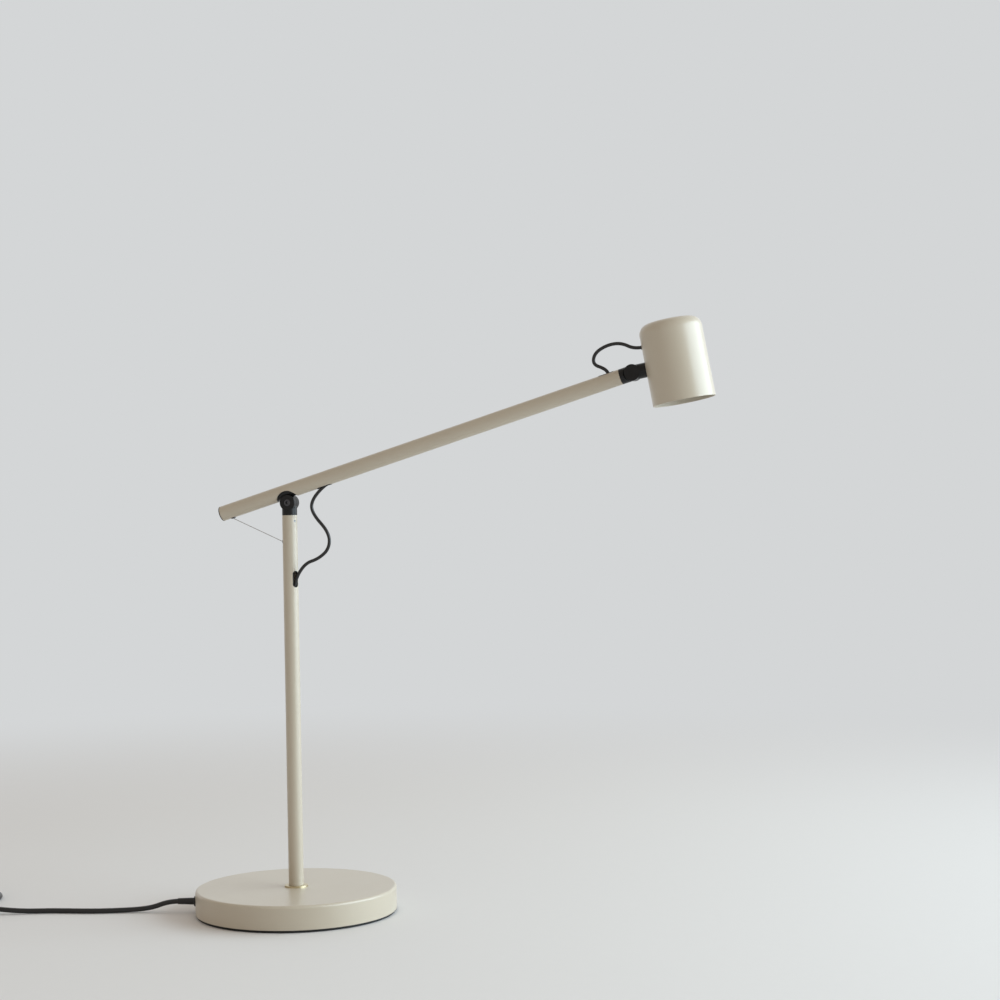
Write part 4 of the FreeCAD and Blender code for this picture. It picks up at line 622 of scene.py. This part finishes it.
@dataclass(frozen=True)
class Glaze(Finish):
    """Glazed ceramic: glossy, with tiny pinholes and a slow ripple."""

    def wire(self, coat: Coating) -> None:
        """Pinholes darken and roughen the glaze; the ripple bends its highlights.

        Args:
            coat: tree that the finish is wired in.
        """
        pinholes = 1 - coat.cells(700.0).between(0.02, 0.1)
        ripple = coat.noise(160.0, 2.0)
        coat.set(
            Base_Color=coat.mixed(pinholes * 0.5 + ripple * 0.2, self.colour, tinted(self.colour, 0.7)),
            Roughness=self.roughness + 0.4 * pinholes + 0.06 * (ripple - 0.5),
            Normal=coat.relief(ripple - 0.2 * pinholes, 0.00008, 0.5),
            Coat_Weight=0.5,
            Coat_Roughness=0.08,
        )


@dataclass(frozen=True)
class SilveredGlass(Finish):
    """Pressed glass with a mirror coating that shows its mould ripples."""

    def wire(self, coat: Coating) -> None:
        """Mirror with ripples in relief and thin spots in the coating.

        Args:
            coat: tree that the finish is wired in.
        """
        ripple = coat.noise(240.0, 2.0)
        thin = coat.noise(520.0, 4.0).between(0.6, 0.85)
        coat.set(
            Base_Color=coat.mixed(thin, self.colour, tinted(self.colour, 0.72)),
            Roughness=self.roughness + 0.18 * thin + 0.05 * (ripple - 0.5),
            Metallic=0.95 - 0.35 * thin,
            Normal=coat.relief(ripple, 0.0003, 0.5),
        )


@dataclass(frozen=True)
class PressedLens(Finish):
    """Frosted lens pressed with a close pattern of round dimples."""

    dimples: float = 430.0

    def wire(self, coat: Coating) -> None:
        """Relief from the dimples' round hollows, frost in the gloss.

        Args:
            coat: tree that the finish is wired in.
        """
        dimples = coat.cells(self.dimples)
        frost = coat.noise(1500.0, 2.0)
        coat.set(
            Base_Color=coat.mixed(dimples, self.colour, tinted(self.colour, 0.88)),
            Roughness=self.roughness + 0.12 * (frost - 0.5) + 0.1 * dimples,
            Normal=coat.relief(dimples, 0.0005, 0.8),
            Transmission_Weight=0.35,
            IOR=1.48,
        )


GREIGE = screen(187, 177, 159)
FINISHES: dict[Finish, tuple[str, ...]] = {
    SatinPaint("greige_paint", GREIGE, 0.4): ("base_cover", "post_tube", "arm_tube", "shade"),
    PowderCoat("black_powder", (0.006, 0.006, 0.0065), 0.34): (
        "post_knuckle", "arm_knuckle", "arm_collar", "head_stem", "spring_anchor",
    ),
    PowderCoat("plate_black", (0.016, 0.016, 0.017), 0.55, 1100.0): ("base_plate",),
    MouldedPlastic("black_plastic", (0.017, 0.017, 0.018), 0.48): (
        "cord_gland", "gland_nut", "switch_body", "plug_body", "arm_end_cap", "wire_eyelet",
    ),
    MouldedPlastic("rocker_plastic", (0.03, 0.03, 0.032), 0.3, 3800.0, 0.00002): ("switch_rocker",),
    MouldedPlastic("rubber", (0.02, 0.02, 0.02), 0.72, 1300.0, 0.00008): (
        "base_pad", "post_slot_grommet", "arm_slot_grommets", "shade_grommet",
    ),
    CableSheath("cable_sheath", (0.009, 0.009, 0.0095), 0.33): (
        "base_leads", "post_lead", "arm_lead", "head_lead",
    ),
    DrawnMetal("dull_steel", (0.4, 0.4, 0.4), 0.5, (1.0, 1.0, 0.3), 0.7): ("post_grub_screw",),
    DrawnMetal("black_oxide", (0.11, 0.11, 0.12), 0.3, (1.0, 0.06, 1.0), 0.6): (
        "pivot_screw", "head_pivot_screw", "arm_insert_screws", "wire_anchor",
    ),
    DrawnMetal("zinc_steel", (0.56, 0.56, 0.57), 0.3): (
        "base_plate_screws", "stop_pin", "post_foot", "swivel_washers", "swivel_nut", "pivot_nut",
        "pivot_washers", "roller_fork", "wire_ferrule", "head_pivot_washers", "stem_fixings",
    ),
    DrawnMetal("folded_steel", (0.5, 0.5, 0.5), 0.36, (0.05, 1.0, 1.0)): ("holder_bracket",),
    DrawnMetal("pin_brass", (0.75, 0.56, 0.26), 0.2, (1.0, 0.05, 1.0)): ("plug_pins", "guide_roller"),
    TurnedMetal("ring_brass", (0.62, 0.54, 0.36), 0.3): ("foot_ring",),
    TurnedMetal("bush_bronze", (0.5, 0.33, 0.17), 0.42, 0.0004): ("bearing_bush",),
    Casting("cast_iron", (0.07, 0.07, 0.072), 0.68): ("base_weight",),
    Glaze("ceramic", (0.8, 0.78, 0.73), 0.16): ("terminal_block", "lampholder"),
    SilveredGlass("bulb_silver", (0.82, 0.82, 0.81), 0.14): ("bulb_body",),
    PressedLens("bulb_lens_glass", (0.9, 0.9, 0.87), 0.28): ("bulb_lens",),
}


def dress_nodes(nodes: Mapping[str, bpy.types.Object]) -> dict[str, bpy.types.Material]:
    """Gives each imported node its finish.

    Args:
        nodes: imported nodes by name.

    Returns:
        The materials by the name of their finish.
    """
    made: dict[str, bpy.types.Material] = {}
    for finish, names in FINISHES.items():
        made[finish.name] = finish.material()
        for name in names:
            for slot in nodes[name].material_slots:
                slot.material = made[finish.name]
    LOG.info("%d nodes dressed in %d finishes", sum(len(v) for v in FINISHES.values()), len(made))
    return made


# ---------------------------------------------------------------- cables


@dataclass
class CoilOfLead:
    """The put-away length of the mains lead: flat turns that go in, climb a layer and come out."""

    centre: tuple[float, float] = (-0.439, -0.015)
    outer_radius: float = 0.046
    pitch: float = 0.0065
    lead_radius: float = 0.003
    turns_in: float = 3.0
    turns_climb: float = 0.5
    turns_out: float = 2.5
    points_per_turn: int = 24

    def points(self) -> Array:
        """Control points of the turns.

        For a number of turns t the radius falls by the pitch for each turn, and grows again after the
        middle of the climb; the height rises by the pitch with a smooth step during the climb; the angle
        is pi - 2 pi t. The radius is divided by the cosine of half a step, so the spline keeps its size.

        Returns:
            Points of shape (n, 3).
        """
        turns = self.turns_in + self.turns_climb + self.turns_out
        turn = np.linspace(0.0, turns, round(turns * self.points_per_turn) + 1)
        reverse = self.turns_in + self.turns_climb / 2
        radius = self.outer_radius - self.pitch * np.minimum(turn, 2 * reverse - turn)
        radius = radius / math.cos(math.pi / self.points_per_turn)
        climb = np.clip((turn - self.turns_in) / self.turns_climb, 0, 1)
        height = self.lead_radius + self.pitch * climb**2 * (3 - 2 * climb)
        angle = math.pi - 2 * math.pi * turn
        return np.column_stack([
            self.centre[0] + radius * np.cos(angle), self.centre[1] + radius * np.sin(angle), height,
        ])


@dataclass
class MainsLead:
    """Free mains lead from the gland through its switch and coil to the plug."""

    diameter: float = 0.006
    coil: CoilOfLead = field(default_factory=CoilOfLead)
    gland_reach: float = 0.144
    gland_azimuth: float = math.radians(192.0)
    gland_height: float = 0.0135
    route: tuple[tuple[float, float, float], ...] = (
        (-0.1538, -0.0320, 0.0128), (-0.1725, -0.0353, 0.0054), (-0.1980, -0.0418, 0.0031),
        (-0.2390, -0.0570, 0.0030), (-0.2870, -0.0620, 0.0030), (-0.3280, -0.0760, 0.0032),
    )
    switch_centre: tuple[float, float] = (-0.391, -0.092)
    switch_azimuth: float = math.radians(191.5)
    switch_half: float = 0.029
    switch_cord_height: float = 0.00755
    feed: tuple[tuple[float, float, float], ...] = (
        (-0.4370, -0.1030, 0.0066), (-0.4615, -0.0985, 0.0032), (-0.4790, -0.0795, 0.0030),
        (-0.4850, -0.0500, 0.0030), (-0.4850, -0.0210, 0.0030),
    )
    tail: tuple[tuple[float, float], ...] = (
        (0.006, 0.0095), (0.014, 0.0092), (0.032, 0.0072), (0.042, 0.00685),
    )
    length: float = 1.775

    def exit(self) -> Array:
        """Where the lead leaves the sleeve of the gland.

        Returns:
            The point, of shape (3,).
        """
        x = self.gland_reach * math.cos(self.gland_azimuth)
        y = self.gland_reach * math.sin(self.gland_azimuth)
        return np.array([x, y, self.gland_height])

    def switch_ends(self) -> Array:
        """Where the lead meets the two ends of the switch.

        Returns:
            Both points, of shape (2, 3).
        """
        way = np.array([math.cos(self.switch_azimuth), math.sin(self.switch_azimuth), 0.0])
        centre = np.array([*self.switch_centre, self.switch_cord_height])
        return centre + np.array([[-self.switch_half], [self.switch_half]]) * way

    def line(self) -> Array:
        """Control points of the whole lead.

        Returns:
            Points of shape (n, 3).
        """
        turns = self.coil.points()
        last = turns[-1]
        tail = [(last[0], self.coil.centre[1] + along, height) for along, height in self.tail]
        turns[-1, 2] = self.tail[0][1]
        return np.concatenate([
            self.exit()[None], np.array(self.route), self.switch_ends(), np.array(self.feed), turns,
            np.array(tail),
        ])

    def build(self, material: bpy.types.Material, nodes: Mapping[str, bpy.types.Object]) -> bpy.types.Object:
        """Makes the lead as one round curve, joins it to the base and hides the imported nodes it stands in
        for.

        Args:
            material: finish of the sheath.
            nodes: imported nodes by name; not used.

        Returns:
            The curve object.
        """
        curve = nurbs_curve("mains_lead", self.line())
        curve.bevel_depth = self.diameter / 2
        curve.bevel_resolution = 5
        curve.resolution_u = 5
        curve.splines[0].resolution_u = 5
        curve.use_fill_caps = True
        curve.materials.append(material)
        lead = bpy.data.objects.new("mains_lead", curve)
        bpy.context.scene.collection.objects.link(lead)
        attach(lead, Body.BASE.value)
        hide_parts("mains_cord", "coil_feed", "mains_coil", "plug_feed")
        LOG.info("mains_lead: %d control points", len(curve.splines[0].points))
        return lead


@dataclass
class CableLoop:
    """Free loop of the lamp's own cable across a joint."""

    name: str
    points: Array
    length: float
    node: str
    bodies: tuple[Body, Body]
    bend_from: tuple[float, float, float]
    bend_to: tuple[float, float, float]
    diameter: float = 0.004
    sides: int = 24
    steps: int = 10

    def build(self, material: bpy.types.Material) -> bpy.types.Object:
        """Makes the loop as a tube about its spline and hides the imported node it stands in for.

        Args:
            material: finish of the sheath.

        Returns:
            The mesh object.
        """
        line = centreline(self.name, self.points, self.steps)
        points, faces = tube(line, np.array([0.0, 1.0, 0.0]), self.diameter / 2, self.sides)
        loop = piece(self.name, points, faces, material)
        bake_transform(loop)
        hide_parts(self.node)
        return loop


def pivot_loop() -> CableLoop:
    """Loop from the slot under the arm, out and back in two bows, into the slot of the post.

    Returns:
        The loop, ready to build.
    """
    free = np.array([
        (0.0282, 0.0, 0.4940), (0.0284, 0.0, 0.4780), (0.0502, 0.0, 0.4544), (0.0502, -0.0008, 0.4355),
        (0.0373, -0.0040, 0.4235), (0.0210, -0.0080, 0.4182),
    ])
    turn, reach = math.radians(-27.0), 0.00555
    side = (reach * math.cos(turn), reach * math.sin(turn))
    last = np.array([(*side, 0.3957), (*side, 0.3790)])
    inside = np.array([ARM_FRAME.at(0.0684, 0.0086), ARM_FRAME.at(0.0538, 0.0086)])
    return CableLoop(
        "pivot_loop", np.concatenate([inside, free, last])[::-1], 0.184, "pivot_cable_loop",
        (Body.POST, Body.ARM), (0.008, 0.0, 0.403), (0.038, 0.0, 0.503),
    )


def head_loop() -> CableLoop:
    """Loop from the slot on top of the arm, up and back, over to the grommet of the shade.

    Returns:
        The loop, ready to build.
    """
    arm_end = 0.4313
    inside = np.array([
        ARM_FRAME.at(arm_end - 0.0314, 0.0086), ARM_FRAME.at(arm_end - 0.022, 0.0086),
        ARM_FRAME.at(arm_end - 0.0146, 0.0144),
    ])
    route = np.array([
        (-28.4, 0.4), (-33.8, 6.1), (-46.9, 10.9), (-44.9, 23.9), (-29.5, 32.9), (-13.0, 34.6), (2.4, 26.8),
    ]) / 1000
    pivot = np.array([HEAD_FRAME.origin[0], 0.0, HEAD_FRAME.origin[1]])
    free = pivot + np.column_stack([route[:, 0], np.zeros(len(route)), route[:, 1]])
    end = HEAD_FRAME.at(0.0194, 0.026)[None]
    return CableLoop(
        "head_loop", np.concatenate([inside, free, end]), 0.12, "head_cable_loop",
        (Body.ARM, Body.HEAD), tuple(pivot + (-0.030, 0.0, 0.0)), tuple(pivot + (0.008, 0.0, 0.029)),
    )


# ---------------------------------------------------------------- balance gear


@dataclass
class BalanceGear:
    """Steel wire from the tail of the arm over the roller in the post, and the spring that it pulls."""

    wire_radius: float = 0.00045
    anchor: tuple[float, float] = (-0.0744, 0.0035)
    hole: tuple[float, float] = (-0.009, 0.4443)
    roller: tuple[float, float] = (-0.0039, 0.4385965)
    roller_reach: float = 0.0031
    ferrule_top: float = 0.391
    spring_foot: float = 0.172
    spring_top: float = 0.372
    spring_reach: float = 0.0035
    spring_wire_radius: float = 0.0005
    spring_pitch: float = 0.002

    def touch(self) -> tuple[Array, Array, Array]:
        """Ends of the free wire.

        Returns:
            Anchor under the arm, hole in the post, and the unit normal of the wire between them.
        """
        anchor = ARM_FRAME.at(*self.anchor)
        hole = np.array([self.hole[0], 0.0, self.hole[1]])
        way = (hole - anchor) / np.linalg.norm(hole - anchor)
        return anchor, hole, np.array([-way[2], 0.0, way[0]])

    def over_roller(self) -> Array:
        """Wire from the hole to the roller and a quarter turn over it.

        Roller part = centre + reach * (normal turned towards +X by an angle that grows evenly).

        Returns:
            Points of shape (n, 3).
        """
        _, hole, normal = self.touch()
        centre = np.array([self.roller[0], 0.0, self.roller[1]])
        first = math.atan2(normal[2], normal[0])
        angle = np.linspace(first, 0.0, 25)
        bow = centre + self.roller_reach * np.column_stack([np.cos(angle), 0 * angle, np.sin(angle)])
        return np.concatenate([hole[None], bow])

    def build(self, material: bpy.types.Material) -> None:
        """Makes the three stretches of wire and the spring.

        Args:
            material: finish of the wire.
        """
        across = np.array([0.0, 1.0, 0.0])
        anchor, hole, _ = self.touch()
        bow = self.over_roller()
        low = np.array([bow[-1, 0], 0.0, self.ferrule_top])
        span = piece("wire_span", *tube(np.array([anchor, hole]), across, self.wire_radius, 12), material)
        turn = piece("wire_turn", *tube(bow, across, self.wire_radius, 12), material)
        drop = piece("wire_drop", *tube(np.array([bow[-1], low]), across, self.wire_radius, 12), material)
        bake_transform(span)
        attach(turn, Body.POST.value)
        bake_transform(drop)
        for part in (span, turn, drop):
            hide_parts("balance_wire")
        self.spring(bow[-1, 0], material)

    def spring(self, x: float, material: bpy.types.Material) -> None:
        """Makes the coil spring.

        Point = axis + reach * (cos a, sin a), with the height rising by the pitch in each turn.

        Args:
            x: its axis.
            material: finish of its wire.
        """
        turns = (self.spring_top - self.spring_foot - 2 * self.spring_wire_radius) / self.spring_pitch
        angle = np.linspace(0.0, 2 * math.pi * turns, round(turns * 18) + 1)
        outward = np.column_stack([np.cos(angle), np.sin(angle), 0 * angle])
        low = self.spring_foot + self.spring_wire_radius
        axis = np.column_stack([0 * angle + x, 0 * angle, low + self.spring_pitch * angle / (2 * math.pi)])
        surface = tube(axis + self.spring_reach * outward, outward, self.spring_wire_radius, 8)
        coil = piece("coil_spring", *surface, material)
        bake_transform(coil)
        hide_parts("balance_spring")


# ---------------------------------------------------------------- studio


@dataclass
class Studio:
    """Pale floor, soft daylight from the right, and the camera."""

    backdrop: Colour = screen(212, 214, 215)
    ambient: Colour = (0.54, 0.485, 0.43)
    floor_colour: Colour = (0.72, 0.705, 0.69)
    floor_radius: float = 9.0
    floor_start: float = 0.25
    floor_height: float = -0.0002
    floor_rings: int = 24
    floor_sides: int = 96
    floor_fade: tuple[float, float] = (0.7, 2.4)
    wall_rise: tuple[float, float] = (0.1, 0.8)
    wall_glow: float = 1.25
    sensor_width: float = 36.0
    focal_pixels: float = 2060.4
    camera_place: tuple[float, float, float] = (0.92297, -2.30346, 0.50267)
    azimuth: float = math.radians(16.0)
    pitch: float = math.radians(0.3)
    roll: float = math.radians(1.005)

    def camera(self) -> None:
        """Camera from its turn, pitch and roll."""
        a, p, r = self.azimuth, self.pitch, self.roll
        right = np.array([math.cos(a), math.sin(a), 0.0])
        ahead = np.array([-math.sin(a) * math.cos(p), math.cos(a) * math.cos(p), -math.sin(p)])
        up = np.cross(right, ahead)
        columns = [math.cos(r) * right - math.sin(r) * up, math.sin(r) * right + math.cos(r) * up, -ahead]
        data = bpy.data.cameras.new("camera")
        data.sensor_width = self.sensor_width
        data.lens = self.focal_pixels * data.sensor_width / PICTURE_PIXELS
        eye = bpy.data.objects.new("camera", data)
        bpy.context.scene.collection.objects.link(eye)
        turn = np.eye(4)
        turn[:3, :3] = np.column_stack(columns)
        turn[:3, 3] = self.camera_place
        eye.matrix_world = Matrix(turn.tolist())
        bpy.context.scene.camera = eye

    def floor(self) -> None:
        """Round floor: point = (r cos a, r sin a, height), with r growing evenly from ring to ring."""
        count, sides = self.floor_rings, self.floor_sides
        angle = -np.arange(sides) * (2 * math.pi / sides)
        radius = np.linspace(self.floor_start, self.floor_radius, count)[:, None]
        level = np.full((count, sides), self.floor_height)
        rings = np.stack([radius * np.cos(angle), radius * np.sin(angle), level], axis=-1).reshape(-1, 3)
        points = np.concatenate([[[0, 0, self.floor_height]], rings])
        closing = fan(np.arange(1, sides + 1), 0, outward=False)
        faces = (quad_grid(count, sides) + 1).tolist() + closing.tolist()
        ground = piece("floor", points, faces, self.floor_material())
        ground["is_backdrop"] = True

    def floor_material(self) -> bpy.types.Material:
        """Matt floor that fades into the backdrop's colour away from the lamp, and is clear from below.

        Returns:
            The material.
        """
        coat = Coating("floor")
        coat.set(
            Base_Color=coat.mixed(coat.noise(60.0, 2.0), self.floor_colour, tinted(self.floor_colour, 0.985)),
            Roughness=0.85,
        )
        far = coat.radius().between(*self.floor_fade)
        glow = coat.add("ShaderNodeEmission", {}, {"Color": (*self.backdrop, 1.0), "Strength": 1.0})[0]
        matt = Signal(coat, coat.shader.outputs[0])
        shown = coat.add("ShaderNodeMixShader", {}, {0: far, 1: matt, 2: glow})[0]
        clear = coat.add("ShaderNodeBsdfTransparent", {}, {})[0]
        under = coat.add("ShaderNodeNewGeometry", {}, {})[6]
        both = coat.add("ShaderNodeMixShader", {}, {0: under, 1: shown, 2: clear})[0]
        coat.feed(coat.tree.nodes["Material Output"].inputs["Surface"], both)
        return coat.material

    def world(self) -> None:
        """Dim room with a bright wall behind the lamp; the eye, also through glass, sees the backdrop."""
        world = bpy.data.worlds.new("studio")
        world.use_nodes = True
        bpy.context.scene.world = world
        sky = Wiring(world.node_tree)
        path = sky.add("ShaderNodeLightPath", {}, {})
        way = sky.add("ShaderNodeTexCoord", {}, {})[0]
        behind = sky.add("ShaderNodeSeparateXYZ", {}, {0: way})[1].between(*self.wall_rise)
        room = sky.mixed(behind, self.ambient, tinted(self.backdrop, self.wall_glow))
        seen = path[0] + path[6]
        colour = sky.mixed(seen, room, self.backdrop)
        shade = world.node_tree.nodes["Background"]
        sky.feed(shade.inputs["Color"], colour)
        shade.inputs["Strength"].default_value = 1.0

    def lamp(self, name: str, place: Sequence[float], aim: Sequence[float], size: tuple[float, float],
             power: float, colour: Colour) -> None:
        """Area light that faces a point.

        Args:
            name: its name.
            place: its middle.
            aim: the point it faces.
            size: its width and height.
            power: watts.
            colour: its colour.
        """
        data = bpy.data.lights.new(name, "AREA")
        data.shape = "RECTANGLE"
        data.size, data.size_y = size
        data.energy = power
        data.color = colour
        light = bpy.data.objects.new(name, data)
        bpy.context.scene.collection.objects.link(light)
        back = np.array(place, float) - np.array(aim, float)
        back /= np.linalg.norm(back)
        right = np.cross([0.0, 0.0, 1.0], back)
        right /= np.linalg.norm(right)
        turn = np.eye(4)
        turn[:3, :3] = np.column_stack([right, np.cross(back, right), back])
        turn[:3, 3] = place
        light.matrix_world = Matrix(turn.tolist())

    def build(self) -> None:
        """Sets up the floor, the world, the lights, the camera and the view transform."""
        self.floor()
        self.world()
        self.lamp("window", (3.2, 0.5, 1.25), (0.1, 0.0, 0.4), (4.2, 2.4), 168.0, (0.74, 0.9, 1.0))
        self.camera()
        bpy.context.scene.view_settings.view_transform = "Standard"


def corners(box: tuple[Sequence[float], Sequence[float]]) -> list[list[float]]:
    """A box's two corners as plain lists."""
    return [[float(value) for value in corner] for corner in box]


def main() -> dict[str, list[list[float]]]:
    """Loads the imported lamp, dresses it and sets the studio up.

    Returns:
        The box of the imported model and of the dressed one.
    """
    logging.basicConfig(level=logging.INFO, format="%(name)s: %(message)s")
    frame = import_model()
    boxes = {"cad": corners(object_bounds())}
    materials = dress_nodes(frame["nodes"])
    sheath, steel = materials["cable_sheath"], materials["zinc_steel"]
    MainsLead().build(sheath, frame["nodes"])
    pivot_loop().build(sheath)
    head_loop().build(sheath)
    BalanceGear().build(steel)
    Studio().build()
    boxes["visual"] = corners(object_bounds())
    return boxes


if __name__ == "__main__":
    sizes = main()
